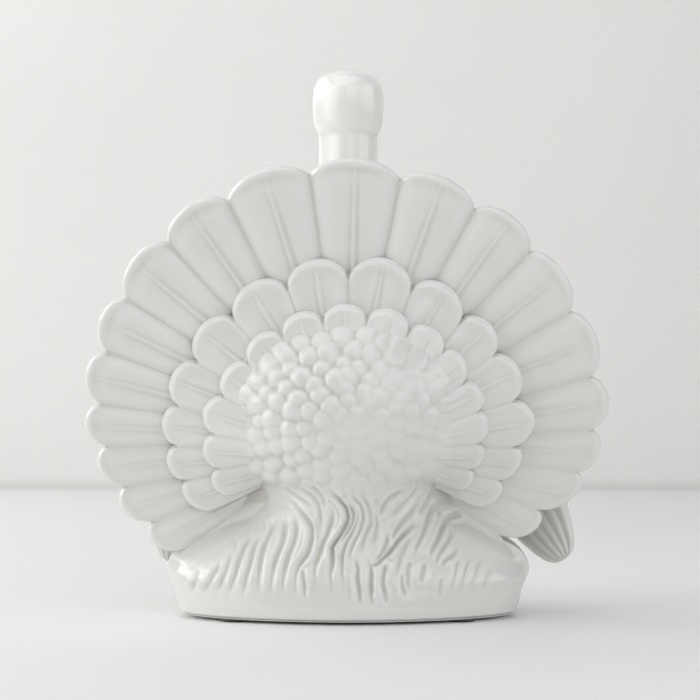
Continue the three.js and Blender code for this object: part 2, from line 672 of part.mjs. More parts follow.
// A wing on the bird's left (way 1) or right (way -1), spread to a distance off the flank.
function wing(way, spread) {
  const path = new THREE.CatmullRomCurve3([
    onBody(0.8, 144, 0), onBody(0.608, 114, WALL / 2), onBody(0.108, 96, spread),
  ]);
  const rings = [];
  for (let i = 0; i <= WING_STATIONS; i++) {
    const share = (1 - Math.cos((i / WING_STATIONS) * Math.PI)) / 2;
    const [halfShare, thickShare, sideShare, frontShare] = wingShares(share);
    const fromMiddle = Math.abs(2 * share - 1);
    const roundShare = (1 - fromMiddle ** WING_ROUND_EXPONENT) ** (1 / WING_ROUND_EXPONENT);
    const along = path.getTangent(share);
    const outward = new THREE.Vector3(sideShare, -frontShare, 0);
    outward.addScaledVector(along, -outward.dot(along)).normalize();
    const chord = new THREE.Vector3().crossVectors(outward, along);
    const middle = path.getPoint(share);
    rings.push(Array.from({ length: WING_SEGMENTS }, (_, k) => {
      const turn = (k / WING_SEGMENTS) * 2 * Math.PI;
      const point = middle.clone()
        .addScaledVector(chord, WING_HALF_CHORD * halfShare * roundShare * Math.cos(turn))
        .addScaledVector(outward, WING_HALF_THICKNESS * thickShare * roundShare * Math.sin(turn));
      return point.setX(way * point.x);
    }));
  }
  return loft(rings).subtract(bodyForm(LUTE_GAP)).subtract(tailForm(LUTE_GAP))
    .subtract(covertRow(frontRow, -1, LUTE_GAP));
}

// Finishes: a white glaze over the clay, and dark felt under the foot
const glaze = { color: 0xe9e9e5, roughness: 0.18, metalness: 0 };
const felt = { color: 0x3b3733, roughness: 0.95, metalness: 0 };

function asMesh(name, solid, finish) {
  const made = solid.getMesh();
  const geometry = new THREE.BufferGeometry();
  geometry.setAttribute("position", new THREE.BufferAttribute(made.vertProperties, 3));
  geometry.setIndex(new THREE.BufferAttribute(made.triVerts, 1));
  geometry.computeVertexNormals();
  const mesh = new THREE.Mesh(geometry, new THREE.MeshStandardMaterial(finish));
  mesh.name = name;
  return mesh;
}

// Assembly

const figure = new THREE.Group();
figure.name = "turkey_figure";

const bodyCutter = bodyForm(LUTE_GAP);
const hollow = bodyForm(-WALL, CUT_OVERRUN);
const neckBore = neckForm(-WALL, CUT_OVERRUN);

figure.add(asMesh("plinth", plinth(), glaze));
figure.add(asMesh("body_shell", bodyForm(0).subtract(hollow).subtract(neckBore), glaze));
figure.add(asMesh("tail_fan", tailForm(0).subtract(bodyCutter), glaze));
figure.add(asMesh("rear_coverts_outer", covertRow(majorRow, 1).subtract(bodyCutter), glaze));
figure.add(asMesh("rear_coverts_inner", covertRow(minorRow, 1).subtract(bodyCutter), glaze));
figure.add(asMesh("front_coverts", covertRow(frontRow, -1).subtract(bodyCutter), glaze));
figure.add(asMesh("neck", neckForm(0).subtract(neckBore).subtract(bodyCutter), glaze));
figure.add(asMesh("head", head(), glaze));
figure.add(asMesh("snood", snood(), glaze));
figure.add(asMesh("wattle", wattle(), glaze));
figure.add(asMesh("beard", beard(), glaze));
figure.add(asMesh("wing_left", wing(1, WING_SPREAD_LEFT), glaze));
figure.add(asMesh("wing_right", wing(-1, WING_SPREAD_RIGHT), glaze));
for (const [name, degrees] of Object.entries(PAD_TURNS)) {
  figure.add(asMesh("foot_pad_" + name, footPad(degrees), felt));
}

export default figure;
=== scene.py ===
"""A white glazed ceramic turkey figure on a pale table, seen from behind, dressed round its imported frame.

Lengths are in metres. +Z is up, the bird faces -Y and its fanned tail faces +Y.
"""
import math

import bmesh
import bpy
import numpy as np
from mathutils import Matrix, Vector


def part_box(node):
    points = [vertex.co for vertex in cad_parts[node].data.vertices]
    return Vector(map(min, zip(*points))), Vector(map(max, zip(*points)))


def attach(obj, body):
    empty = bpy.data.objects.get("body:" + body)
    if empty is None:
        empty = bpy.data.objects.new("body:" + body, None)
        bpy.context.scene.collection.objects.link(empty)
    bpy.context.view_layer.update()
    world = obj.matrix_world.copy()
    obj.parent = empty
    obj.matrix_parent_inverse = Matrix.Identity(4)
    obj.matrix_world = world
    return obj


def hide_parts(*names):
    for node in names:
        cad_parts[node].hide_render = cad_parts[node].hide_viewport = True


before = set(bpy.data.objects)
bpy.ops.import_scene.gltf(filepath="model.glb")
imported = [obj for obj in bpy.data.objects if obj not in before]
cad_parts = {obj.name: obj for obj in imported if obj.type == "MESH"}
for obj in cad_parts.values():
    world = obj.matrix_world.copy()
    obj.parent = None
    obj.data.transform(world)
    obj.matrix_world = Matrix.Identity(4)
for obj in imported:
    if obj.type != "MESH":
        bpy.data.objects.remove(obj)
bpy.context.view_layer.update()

MM = 0.001
TURN = 2 * math.pi


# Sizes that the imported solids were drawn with

WALL = 5 * MM
BODY_BOTTOM = 17 * MM
BODY_HEIGHT = 157 * MM
BODY_HALF_WIDTH = 97 * MM
BODY_FORWARD = 30 * MM
BREAST_DEPTH = 104 * MM
RUMP_DEPTH = 51 * MM
FULL_EXPONENT = 2.25
RIDGE_EXPONENT = 1.75

TAIL_CENTRE_HEIGHT = BODY_BOTTOM + 77 * MM
RUMP_RISE = BODY_BOTTOM + BODY_HEIGHT - TAIL_CENTRE_HEIGHT
TAIL_OFFSET = 29.6 * MM
TAIL_LEAN = math.radians(9)
TAIL_RADIUS = 150.7 * MM
TAIL_INNER_RADIUS = 34 * MM
TAIL_THICKNESS = 8 * MM
TAIL_NOTCH_DEPTH = 7.5 * MM
TAIL_CURL = 7 * MM
COVERT_INNER_RADIUS = 42 * MM
COVERT_STEP = 4.5 * MM
FEATHER_CROWN = 1.8 * MM

NECK_BOTTOM = BODY_BOTTOM + BODY_HEIGHT - 44 * MM
NECK_TOP = NECK_BOTTOM + 131 * MM
NECK_RADIUS = 16.5 * MM
NECK_FORWARD = 60 * MM
HEAD_SEAT = NECK_TOP + 0.3 * MM
SKULL_HEIGHT = 34 * MM
SKULL_HALF_WIDTH = 19.5 * MM
FACE_LENGTH = 38 * MM

# From the foot up: the height, half width, place of the widest section, breast depth, rump depth,
# and how full the rump's plan outline is
BODY_SHARES = [
    [0, 0.965, 0.07, 0.615, 1.02, 0.82],
    [0.05, 0.99, 0.14, 0.635, 1, 0.8],
    [0.12, 0.95, 0.42, 0.67, 0.93, 0.78],
    [0.17, 0.84, 0.66, 0.73, 0.88, 0.78],
    [0.22, 0.73, 0.84, 0.79, 0.86, 0.76],
    [0.29, 0.65, 0.96, 0.87, 0.87, 0.78],
    [0.36, 0.64, 1, 0.93, 0.91, 0.82],
    [0.5, 0.765, 1, 1, 1, 0.96],
    [0.63, 0.805, 0.93, 0.97, 0.94, 1],
    [0.76, 0.70, 0.74, 0.84, 0.76, 1],
    [0.86, 0.52, 0.54, 0.68, 0.53, 1],
    [0.94, 0.32, 0.36, 0.42, 0.2, 1],
    [1, 0, 0.14, 0.04, -0.08, 1],
]

# Feather edges, in degrees from straight up, positive to the bird's left
TAIL_NOTCHES = [134, 124, 112.5, 101.5, 91, 81, 69, 56.5, 41.5, 26, 8, -11, -28, -43, -59, -74.5, -87,
                -97.5, -110, -122, -132]
MAJOR_NOTCHES = [117, 103, 90.5, 77, 61, 42, 21, 0, -22, -42, -58, -75, -91, -104, -117]
MINOR_NOTCHES = [114, 100, 84, 67, 49, 30, 11, -8, -27, -44, -60, -74, -88, -101, -113]
FRONT_NOTCHES = [104, 91, 78, 65, 52, 39, 26, 13, 0, -13, -26, -39, -52, -65, -78, -91, -104]

# The outline of each row of feathers, as shares of its radius at angles in degrees
TAIL_OUTLINE = [
    (-132, 0.6), (-122, 0.69), (-110, 0.765), (-104, 0.815), (-97, 0.868), (-92, 0.88), (-87, 0.907), (-81, 0.92),
    (-74, 0.932), (-67, 0.94), (-59, 0.952), (-51, 0.958), (-43, 0.974), (-28, 0.982), (-11, 0.992),
    (8, 1), (26, 1), (41, 0.996), (56, 0.978), (69, 0.955), (76, 0.943), (86, 0.92), (91, 0.9),
    (101, 0.855), (112, 0.802), (118, 0.775), (124, 0.74), (134, 0.64),
]
MAJOR_OUTLINE = [
    (-117, 0.82), (-104, 0.885), (-97, 0.92), (-91, 0.955), (-83, 1), (-75, 0.99), (-42, 0.985),
    (-22, 1), (-11, 1.01), (0, 1), (77, 1), (90, 0.98), (103, 0.95), (117, 0.87),
]
MINOR_OUTLINE = [
    (-113, 0.88), (-74, 1), (-60, 0.99), (-44, 1.02), (-30, 1.01), (0, 1), (60, 1), (75, 1.03),
    (92, 1), (107, 0.98), (114, 0.95),
]


# Forms in numbers

def smoothstep(low, high, value):
    share = np.clip((value - low) / (high - low), 0, 1)
    return share * share * (3 - 2 * share)


def mix(start, end, share):
    return start + (end - start) * share


def in_millimetres(**sizes):
    return {name: size * MM for name, size in sizes.items()}


def smooth_rows(rows, share):
    """Every column of a table, as a smooth curve through its evenly spaced rows."""
    rows = np.asarray(rows, float)
    last = len(rows) - 1
    place = np.clip(np.asarray(share, float), 0, 1) * last
    knot = np.minimum(place.astype(int), last - 1)
    part = (place - knot)[..., None]
    before, start, end, after = (rows[np.clip(knot + step, 0, last)] for step in (-1, 0, 1, 2))
    leave, arrive = (end - before) / 2, (after - start) / 2
    bend = 3 * (end - start) - 2 * leave - arrive
    return ((2 * (start - end) + leave + arrive) * part + bend) * part ** 2 + leave * part + start


def path_points(knots, share):
    """Points along a smooth centripetal curve through a few knots."""
    knots = np.asarray(knots, float)
    knots = np.vstack([2 * knots[0] - knots[1], knots, 2 * knots[-1] - knots[-2]])
    share = np.clip(np.atleast_1d(np.asarray(share, float)), 0, 1)
    spans = len(knots) - 3
    place = share * spans
    span = np.minimum(place.astype(int), spans - 1)
    part = (place - span)[:, None]
    a, b, c, d = (knots[span + step] for step in range(4))
    gaps = [np.sqrt(np.linalg.norm(q - p, axis=1))[:, None] for p, q in ((a, b), (b, c), (c, d))]
    first, middle, last = gaps
    leave = ((b - a) / first - (c - a) / (first + middle) + (c - b) / middle) * middle
    arrive = ((c - b) / middle - (d - b) / (middle + last) + (d - c) / last) * middle
    bend = 3 * (c - b) - 2 * leave - arrive
    return ((2 * (b - c) + leave + arrive) * part + bend) * part ** 2 + leave * part + b


def path_tangents(knots, share):
    step = 1e-4
    share = np.atleast_1d(np.asarray(share, float))
    along = path_points(knots, share + step) - path_points(knots, share - step)
    return along / np.linalg.norm(along, axis=1)[:, None]


def full_turn(count):
    return np.linspace(0, TURN, count, endpoint=False)


def unit(vectors):
    return vectors / np.maximum(np.linalg.norm(vectors, axis=-1, keepdims=True), 1e-12)


def tail_plane_y(height):
    return TAIL_OFFSET + (height - TAIL_CENTRE_HEIGHT) * math.tan(TAIL_LEAN)


NECK_Y = tail_plane_y(BODY_BOTTOM + BODY_HEIGHT) - NECK_FORWARD


def plan_point(turn, side, front, rear, front_exponent, rear_exponent):
    """A rounded plan outline's x and y, at a turn from the rear."""
    sine, cosine = np.sin(turn), np.cos(turn)
    power = 2 / np.where(cosine < 0, front_exponent, rear_exponent)
    depth = np.where(cosine < 0, -front, rear)
    return side * np.sign(sine) * np.abs(sine) ** power, depth * np.abs(cosine) ** power


def body_point(share, turn, offset=0.0):
    """Points of the body's face, at a share of the way up and a turn from the rear."""
    share, turn = np.broadcast_arrays(share, turn)
    height, side, forward, front, rear, full = np.moveaxis(smooth_rows(BODY_SHARES, share), -1, 0)
    grown = offset * np.minimum(1, side * 4)
    forward = BODY_FORWARD * forward
    x, y = plan_point(
        turn,
        np.maximum(BODY_HALF_WIDTH * side + grown, 0),
        np.maximum(BREAST_DEPTH * front - forward + grown, 0),
        np.maximum(RUMP_DEPTH * rear + forward + grown, 0),
        FULL_EXPONENT, FULL_EXPONENT * full)
    middle = tail_plane_y(BODY_BOTTOM + BODY_HEIGHT * height) - forward
    return np.stack([x, middle + y, BODY_BOTTOM + (BODY_HEIGHT + offset) * height], -1)


def on_tail(angle, radius, height):
    """Points over the leaning tail plane, which curls back towards its tips."""
    back = height + TAIL_CURL * (radius / TAIL_RADIUS) ** 3
    up = radius * np.cos(angle)
    return np.stack([
        radius * np.sin(angle),
        TAIL_OFFSET + up * math.sin(TAIL_LEAN) + back * math.cos(TAIL_LEAN),
        TAIL_CENTRE_HEIGHT + up * math.cos(TAIL_LEAN) - back * math.sin(TAIL_LEAN),
    ], -1)


def on_face(left, forward, up):
    """A point of the head, in its own half widths, face lengths and heights."""
    return np.array([SKULL_HALF_WIDTH * left, NECK_Y - FACE_LENGTH * forward, HEAD_SEAT + SKULL_HEIGHT * up])


# Meshes

def grid_faces(rows, columns, closed=False, first=0):
    """Four-cornered faces over a grid of points. A closed grid's last column meets its first."""
    index = np.arange(rows * columns).reshape(rows, columns) + first
    if closed:
        index = np.hstack([index, index[:, :1]])
    corners = [index[:-1, :-1], index[:-1, 1:], index[1:, 1:], index[1:, :-1]]
    return np.stack(corners, -1).reshape(-1, 4)


def new_piece(name, points, faces, values=None):
    """A closed mesh object: doubles merged, faces out, and a number at each point for each value."""
    mesh = bpy.data.meshes.new(name)
    mesh.from_pydata(np.asarray(points, float).reshape(-1, 3).tolist(), [], [list(map(int, f)) for f in faces])
    for value_name, numbers in (values or {}).items():
        store(mesh, value_name, numbers)
    shape = bmesh.new()
    shape.from_mesh(mesh)
    bmesh.ops.remove_doubles(shape, verts=shape.verts, dist=0.01 * MM)
    bmesh.ops.recalc_face_normals(shape, faces=shape.faces)
    shape.to_mesh(mesh)
    shape.free()
    piece = bpy.data.objects.new(name, mesh)
    bpy.context.scene.collection.objects.link(piece)
    return piece


def store(mesh, name, numbers):
    layer = mesh.attributes.get(name) or mesh.attributes.new(name, "FLOAT", "POINT")
    layer.data.foreach_set("value", np.ascontiguousarray(numbers, np.float32).ravel())


def bake(piece):
    """Turns a piece's modifiers into its plain mesh."""
    bpy.context.view_layer.update()
    graph = bpy.context.evaluated_depsgraph_get()
    mesh = bpy.data.meshes.new_from_object(piece.evaluated_get(graph))
    piece.modifiers.clear()
    old, piece.data = piece.data, mesh
    mesh.name = piece.name
    bpy.data.meshes.remove(old)
    return piece


def soften(piece, rounds):
    """Fills a piece's creases, as thick glaze does."""
    modifier = piece.modifiers.new("glaze fills the creases", "SMOOTH")
    modifier.factor = 0.5
    modifier.iterations = rounds


def plate(name, front, back, values):
    """A closed plate between two grids of points, with a pair of grids for each value."""
    points = np.concatenate([front, back[::-1], front[:1]])
    rows, columns = points.shape[:2]
    index = np.arange(rows * columns).reshape(rows, columns)
    faces = [grid_faces(rows, columns)]
    deep = len(front)
    for column in (0, columns - 1):
        low, high = index[:deep, column], index[deep:2 * deep, column][::-1]
        faces.append(np.stack([low[:-1], low[1:], high[1:], high[:-1]], -1))
    both = {key: np.concatenate([ahead, behind[::-1], ahead[:1]]) for key, (ahead, behind) in values.items()}
    return new_piece(name, points, np.concatenate(faces), both)


def loft(rings):
    """The points and faces of a skin over rings of points, closed to a point at both ends."""
    rings = np.asarray(rings, float)
    ends = [np.repeat(ring.mean(axis=0)[None], len(ring), axis=0)[None] for ring in (rings[0], rings[-1])]
    rings = np.concatenate([ends[0], rings, ends[1]])
    return rings.reshape(-1, 3), grid_faces(rings.shape[0], rings.shape[1], closed=True)


def joined(parts):
    """Several skins as one set of points and faces."""
    points, faces, first = [], [], 0
    for part_points, part_faces in parts:
        points.append(part_points)
        faces.append(part_faces + first)
        first += len(part_points)
    return np.concatenate(points), np.concatenate(faces)


def limb(knots, radii, width=1.0, segments=32, stations=60):
    """A tapering round limb along a curve, as rings of points."""
    share = np.linspace(0, 1, stations)
    middle, along = path_points(knots, share), path_tangents(knots, share)
    across = unit(np.array([1.0, 0, 0]) - along * along[:, :1])
    over = np.cross(along, across)
    radius = smooth_rows(np.asarray(radii)[:, None], share)
    turn = full_turn(segments)[None, :, None]
    return (middle[:, None] + (across * radius * width)[:, None] * np.cos(turn)
            + (over * radius)[:, None] * np.sin(turn))


def ball(centre, sizes, tilt=0.0, segments=40):
    """An ellipsoid as rings of points."""
    turn, lift = np.meshgrid(full_turn(segments), np.linspace(-math.pi / 2, math.pi / 2, segments // 2)[1:-1])
    x, y, z = (size * part for size, part in zip(
        sizes, (np.cos(lift) * np.cos(turn), np.cos(lift) * np.sin(turn), np.sin(lift))))
    cosine, sine = math.cos(tilt), math.sin(tilt)
    return np.stack([x, y * cosine - z * sine, y * sine + z * cosine], -1) + centre


# Geometry Nodes

class Value:
    """A number in a node tree, which arithmetic extends with nodes."""

    def __init__(self, tree, socket):
        self.tree = tree
        self.socket = socket

    def math(self, operation, *others):
        node = self.tree.nodes.new("ShaderNodeMath")
        node.operation = operation
        for place, value in zip(node.inputs, (self, *others)):
            plug(self.tree, value, place)
        return Value(self.tree, node.outputs[0])

    def __add__(self, other):
        return self.math("ADD", other)

    def __sub__(self, other):
        return self.math("SUBTRACT", other)

    def __mul__(self, other):
        return self.math("MULTIPLY", other)

    def __truediv__(self, other):
        return self.math("DIVIDE", other)

    def __pow__(self, other):
        return self.math("POWER", other)

    def __neg__(self):
        return self.math("MULTIPLY", -1)

    def __abs__(self):
        return self.math("ABSOLUTE")

    def __rsub__(self, other):
        return -self + other

    __radd__ = __add__
    __rmul__ = __mul__

    def bell(self, width):
        """1 where the number is 0, and next to nothing two widths away."""
        part = self / width
        return (-(part * part)).math("EXPONENT")

    def clamped(self):
        """The number, held between 0 and 1."""
        return self.math("MINIMUM", 1).math("MAXIMUM", 0)


def plug(tree, value, place):
    """Links a value to a socket, or sets the socket to a plain number."""
    if isinstance(value, Value):
        tree.links.new(value.socket, place)
    elif isinstance(value, bpy.types.NodeSocket):
        tree.links.new(value, place)
    else:
        place.default_value = value


def add_node(tree, kind, inputs=None, **settings):
    made = tree.nodes.new(kind)
    for name, setting in settings.items():
        setattr(made, name, setting)
    for name, value in (inputs or {}).items():
        plug(tree, value, made.inputs[name])
    return made


class Tree:
    """A Geometry Nodes tree with named sizes, which ends by realizing and setting the material."""

    SOCKETS = {"geometry": "Geometry", "object": "Object", "material": "Material", "size": "Float"}

    def __init__(self, name, sizes, objects=()):
        self.tree = bpy.data.node_groups.new(name, "GeometryNodeTree")
        self.keys = {}
        self.add_socket("Geometry", "geometry")
        self.add_socket("Material", "material")
        for size in sizes:
            self.add_socket(size, "size")
        for thing in objects:
            self.add_socket(thing, "object")
        self.tree.interface.new_socket("Geometry", in_out="OUTPUT", socket_type="NodeSocketGeometry")
        self.start = self.tree.nodes.new("NodeGroupInput")

    def add_socket(self, name, kind):
        item = self.tree.interface.new_socket(
            name, in_out="INPUT", socket_type="NodeSocket" + self.SOCKETS[kind])
        self.keys[name] = item.identifier

    def given(self, name):
        return Value(self.tree, self.start.outputs[name])

    def node(self, kind, inputs=None, **settings):
        return add_node(self.tree, kind, inputs, **settings)

    def stored(self, name, data_type="FLOAT"):
        made = self.node("GeometryNodeInputNamedAttribute", {"Name": name}, data_type=data_type)
        return Value(self.tree, made.outputs["Attribute"])

    def vector_math(self, operation, *values):
        made = self.node("ShaderNodeVectorMath", operation=operation)
        for place, value in zip(made.inputs, values):
            plug(self.tree, value, place)
        output = "Value" if operation in ("LENGTH", "DOT_PRODUCT", "DISTANCE") else "Vector"
        return Value(self.tree, made.outputs[output])

    def noise(self, place, scale, detail):
        """Smooth noise about one half, the same on every run."""
        made = self.node("ShaderNodeTexNoise", {"Vector": place, "Scale": scale, "Detail": detail})
        return Value(self.tree, made.outputs["Fac"])

    def push_out(self, geometry, height):
        """Moves every point along its normal by a height."""
        normal = self.node("GeometryNodeInputNormal").outputs["Normal"]
        offset = self.node("ShaderNodeVectorMath", {0: normal, "Scale": height}, operation="SCALE")
        moved = self.node("GeometryNodeSetPosition", {"Geometry": geometry, "Offset": offset.outputs[0]})
        return moved.outputs["Geometry"]

    def finish(self, geometry):
        real = self.node("GeometryNodeRealizeInstances", {"Geometry": geometry})
        coated = self.node("GeometryNodeSetMaterial", {
            "Geometry": real.outputs["Geometry"], "Material": self.given("Material")})
        end = self.tree.nodes.new("NodeGroupOutput")
        self.tree.links.new(coated.outputs["Geometry"], end.inputs["Geometry"])

    def put_on(self, piece, material, **sizes):
        """Adds the tree to a piece, with its sizes, before the piece is first evaluated."""
        modifier = piece.modifiers.new(self.tree.name, "NODES")
        modifier.node_group = self.tree
        modifier[self.keys["Material"]] = material
        for name, size in sizes.items():
            modifier[self.keys[name.replace("_", " ").capitalize()]] = size


FEATHER_INPUTS = (
    "Crown", "Groove depth", "Groove width", "Groove run", "Groove rest", "Quill height", "Quill width",
    "Quill clear", "Quill length", "Rim height", "Rim width", "Dish depth", "Streak depth", "Waviness")


def feather_tree():
    """The relief of a row of feathers: pillowed vanes, a quill with a hollow at each side, a rolled rim.

    It reads side, from -1 to 1 between a feather's edges, the half width there, how far the point is
    in from the rim and up from the quill's root, and how much relief the point takes.
    """
    tree = Tree("feather relief", FEATHER_INPUTS)
    (crown_height, groove_depth, groove_width, groove_run, groove_rest, quill_height, quill_width, quill_clear,
     quill_length, rim_height, rim_width, dish_depth, streak_depth, waviness) = map(tree.given, FEATHER_INPUTS)
    side, half_width = tree.stored("side"), tree.stored("half_width")
    from_rim, share = tree.stored("from_rim"), tree.stored("relief")
    across = abs(side) * half_width
    to_edge = half_width - across
    crown = crown_height * (1 - abs(side) ** 2.6)
    fade = (-(from_rim / groove_run)).math("EXPONENT")
    groove = groove_depth * (groove_rest + (1 - groove_rest) * fade) * to_edge.bell(groove_width)
    grown = ((from_rim - quill_clear) / quill_length).clamped()
    width = quill_width * (0.75 + 0.25 * grown)
    ridge = across.bell(width) - 0.42 * (across - width * 2.5).bell(width * 1.5)
    quill = quill_height * ridge * grown ** 0.45
    inner = ((from_rim - rim_width * 0.6) / (rim_width * 0.8)).clamped()
    rim = rim_height * (1 - inner * inner * (3 - 2 * inner))
    dish = dish_depth * (from_rim - rim_width * 2.4).bell(rim_width * 1.5) * (1 - abs(side) ** 3)
    spread = tree.node("ShaderNodeCombineXYZ", {"X": side * 7, "Y": from_rim / (60 * MM), "Z": half_width * 900})
    streak = tree.noise(spread.outputs["Vector"], 2.2, 1)
    streaks = streak_depth * (streak - 0.5) * (to_edge / (3 * MM)).clamped()
    place = tree.node("GeometryNodeInputPosition").outputs["Position"]
    waves = waviness * (tree.noise(place, 34, 1) - 0.5)
    height = (crown - groove + quill + rim - dish + streaks + waves) * share
    tree.finish(tree.push_out(tree.given("Geometry"), height))
    return tree


def nearest_guide(tree, guides):
    """The nearest guide point to each point, both flattened along Y: its index and where it is."""
    info = tree.node("GeometryNodeObjectInfo", {"Object": tree.given(guides)})
    place = tree.node("GeometryNodeInputPosition").outputs["Position"]
    flat = tree.vector_math("MULTIPLY", place, (1, 0, 1))
    nearest = tree.node("GeometryNodeSampleNearest", {
        "Geometry": info.outputs["Geometry"], "Sample Position": flat}, domain="POINT")

    def sampled(value, data_type):
        found = tree.node("GeometryNodeSampleIndex", {
            "Geometry": info.outputs["Geometry"], "Index": nearest.outputs["Index"]},
            data_type=data_type, domain="POINT")
        plug(tree.tree, value, found.inputs["Value"])
        return Value(tree.tree, found.outputs["Value"])

    centre = sampled(place, "FLOAT_VECTOR")
    return tree.vector_math("SUBTRACT", flat, centre), sampled


def scale_height(tree, guides):
    """How high the scale feather round the nearest guide point stands: highest towards its tip."""
    away, sampled = nearest_guide(tree, guides)
    lean = sampled(tree.stored("lean", "FLOAT_VECTOR"), "FLOAT_VECTOR")
    size = sampled(tree.stored("size"), "FLOAT")
    tipward = tree.vector_math("DOT_PRODUCT", away, lean) / size
    distance = tree.vector_math("LENGTH", away) / size
    dome = (1 - distance * distance).clamped() ** 0.75
    return dome * (0.62 + 0.45 * tipward) * size


def scale_tree():
    """Small scale feathers in rings, every other ring over its neighbours."""
    tree = Tree("scale feathers", ["Height"], ["Even rings", "Odd rings"])
    even, odd = (scale_height(tree, guides) for guides in ("Even rings", "Odd rings"))
    height = tree.given("Height") * even.math("MAXIMUM", odd)
    tree.finish(tree.push_out(tree.given("Geometry"), height * tree.stored("scaly")))
    return tree


def groove_tree():
    """Grooves along guide lines, with a rounded lock of plumes between each and the next."""
    tree = Tree("plume grooves", ["Depth", "Reach"], ["Guides"])
    away, sampled = nearest_guide(tree, "Guides")
    distance = tree.vector_math("LENGTH", away) / tree.given("Reach")
    cut = distance.bell(1.15) - 0.5 * distance.bell(3)
    depth = tree.given("Depth") * sampled(tree.stored("depth"), "FLOAT")
    tree.finish(tree.push_out(tree.given("Geometry"), -(depth * cut * tree.stored("plumed"))))
    return tree


def shingle_tree():
    """Feathers laid like shingles along the stored way, each row over the next and half a feather aside."""
    tree = Tree("shingled feathers", ["Height", "Length", "Width", "Tip"])
    across = tree.stored("across") / tree.given("Width")
    phases = []
    for shift in (0, 1):
        side = (across + shift / 2).math("FRACT") * 2 - 1
        down = tree.stored("along") - shift * tree.given("Length") + tree.given("Tip") * side * side
        phases.append((down / (2 * tree.given("Length"))).math("FRACT"))
    height = tree.given("Height") * phases[0].math("MAXIMUM", phases[1]) ** 1.6
    tree.finish(tree.push_out(tree.given("Geometry"), height * tree.stored("relief")))
    return tree


def guide_points(name, points, values=None, vectors=None):
    """Loose points that a tree looks up: an object outside the scene, removed after use."""
    mesh = bpy.data.meshes.new(name)
    mesh.from_pydata(np.asarray(points, float).tolist(), [], [])
    for value_name, numbers in (values or {}).items():
        store(mesh, value_name, numbers)
    for value_name, rows in (vectors or {}).items():
        layer = mesh.attributes.new(value_name, "FLOAT_VECTOR", "POINT")
        layer.data.foreach_set("vector", np.ascontiguousarray(rows, np.float32).ravel())
    return bpy.data.objects.new(name, mesh)


# Materials

def shader_node(material, kind, inputs=None, **settings):
    return add_node(material.node_tree, kind, inputs, **settings)


def own_place(material):
    return shader_node(material, "ShaderNodeTexCoord").outputs["Object"]


def noise_at(material, place, scale, detail):
    made = shader_node(material, "ShaderNodeTexNoise", {"Vector": place, "Scale": scale, "Detail": detail})
    return made.outputs["Fac"]


def bumped(material, height, strength, distance):
    made = shader_node(material, "ShaderNodeBump", {"Height": height, "Strength": strength, "Distance": distance})
    return made.outputs["Normal"]


def ramp(material, value, stops):
    made = shader_node(material, "ShaderNodeValToRGB", {"Fac": value})
    points = made.color_ramp.elements
    while len(points) < len(stops):
        points.new(0.5)
    for point, (place, colour) in zip(points, stops):
        point.position = place
        point.color = (*colour, 1)
    return made.outputs["Color"]


def set_surface(material, **sockets):
    """Gives the surface's sockets plain values, or what other nodes put out."""
    surface = material.node_tree.nodes["Principled BSDF"]
    for socket, value in sockets.items():
        plug(material.node_tree, value, surface.inputs[socket.replace("_", " ")])


def new_material(name, **sockets):
    material = bpy.data.materials.new(name)
    material.use_nodes = True
    set_surface(material, **sockets)
    return material


def multiplied(material, first, second):
    blend = shader_node(material, "ShaderNodeMix", data_type="RGBA", blend_type="MULTIPLY")
    blend.inputs["Factor"].default_value = 1
    plug(material.node_tree, first, blend.inputs["A"])
    plug(material.node_tree, second, blend.inputs["B"])
    return blend.outputs["Result"]


# The glaze on an edge, on a face and where it pools
GLAZE_COLOURS = ((0.85, 0.85, 0.838), (0.80, 0.80, 0.782), (0.66, 0.65, 0.605))


def glaze_material(name, whiteness):
    """White glaze: warm and a little grey where it pools, whiter where it runs thin over edges."""
    material = new_material(name, Coat_Weight=0.5, Coat_Roughness=0.06, IOR=1.5)
    place = own_place(material)
    pool = shader_node(material, "ShaderNodeAttribute", attribute_name="pool").outputs["Fac"]
    tint = ramp(material, pool, [
        (depth, tuple(whiteness * part for part in colour)) for depth, colour in zip((0, 0.5, 1), GLAZE_COLOURS)])
    cloud = noise_at(material, place, 22, 3)
    shade = ramp(material, cloud, [(0.3, (0.98, 0.98, 0.976)), (0.7, (1, 1, 1))])
    sheen = ramp(material, cloud, [(0.3, (0.17, 0.17, 0.17)), (0.7, (0.24, 0.24, 0.24))])
    ripple = bumped(material, noise_at(material, place, 160, 2), 0.1, 0.4 * MM)
    set_surface(material, Base_Color=multiplied(material, tint, shade), Roughness=sheen, Normal=ripple)
    return material


def felt_material():
    material = new_material("dark felt", Roughness=0.95, Sheen_Weight=0.4)
    fibres = noise_at(material, own_place(material), 1500, 4)
    colour = ramp(material, fibres, [(0.3, (0.03, 0.026, 0.023)), (0.7, (0.09, 0.08, 0.07))])
    set_surface(material, Base_Color=colour, Normal=bumped(material, fibres, 0.6, 0.3 * MM))
    return material


glaze = glaze_material("white glaze", 0.985)
# Painted light: the head, neck, snood, wattle and beard take a copy of the same glaze painted brighter, standing
# in for the stronger light that falls on them
head_glaze_painted_brighter = glaze_material("white glaze of the head", 1.16)
felt = felt_material()
feather_relief = feather_tree()
scale_feathers = scale_tree()
plume_grooves = groove_tree()
shingled_feathers = shingle_tree()


# Finishing a piece

# How often the glaze is smoothed to find its hollows, and how deep one is that is full
POOL_ROUNDS = 14
POOL_DEPTH = 0.55 * MM

# Numbers at a mesh's points that only its trees read
WORK_VALUES = {"side", "half_width", "from_rim", "relief", "scaly", "plumed", "across", "along"}


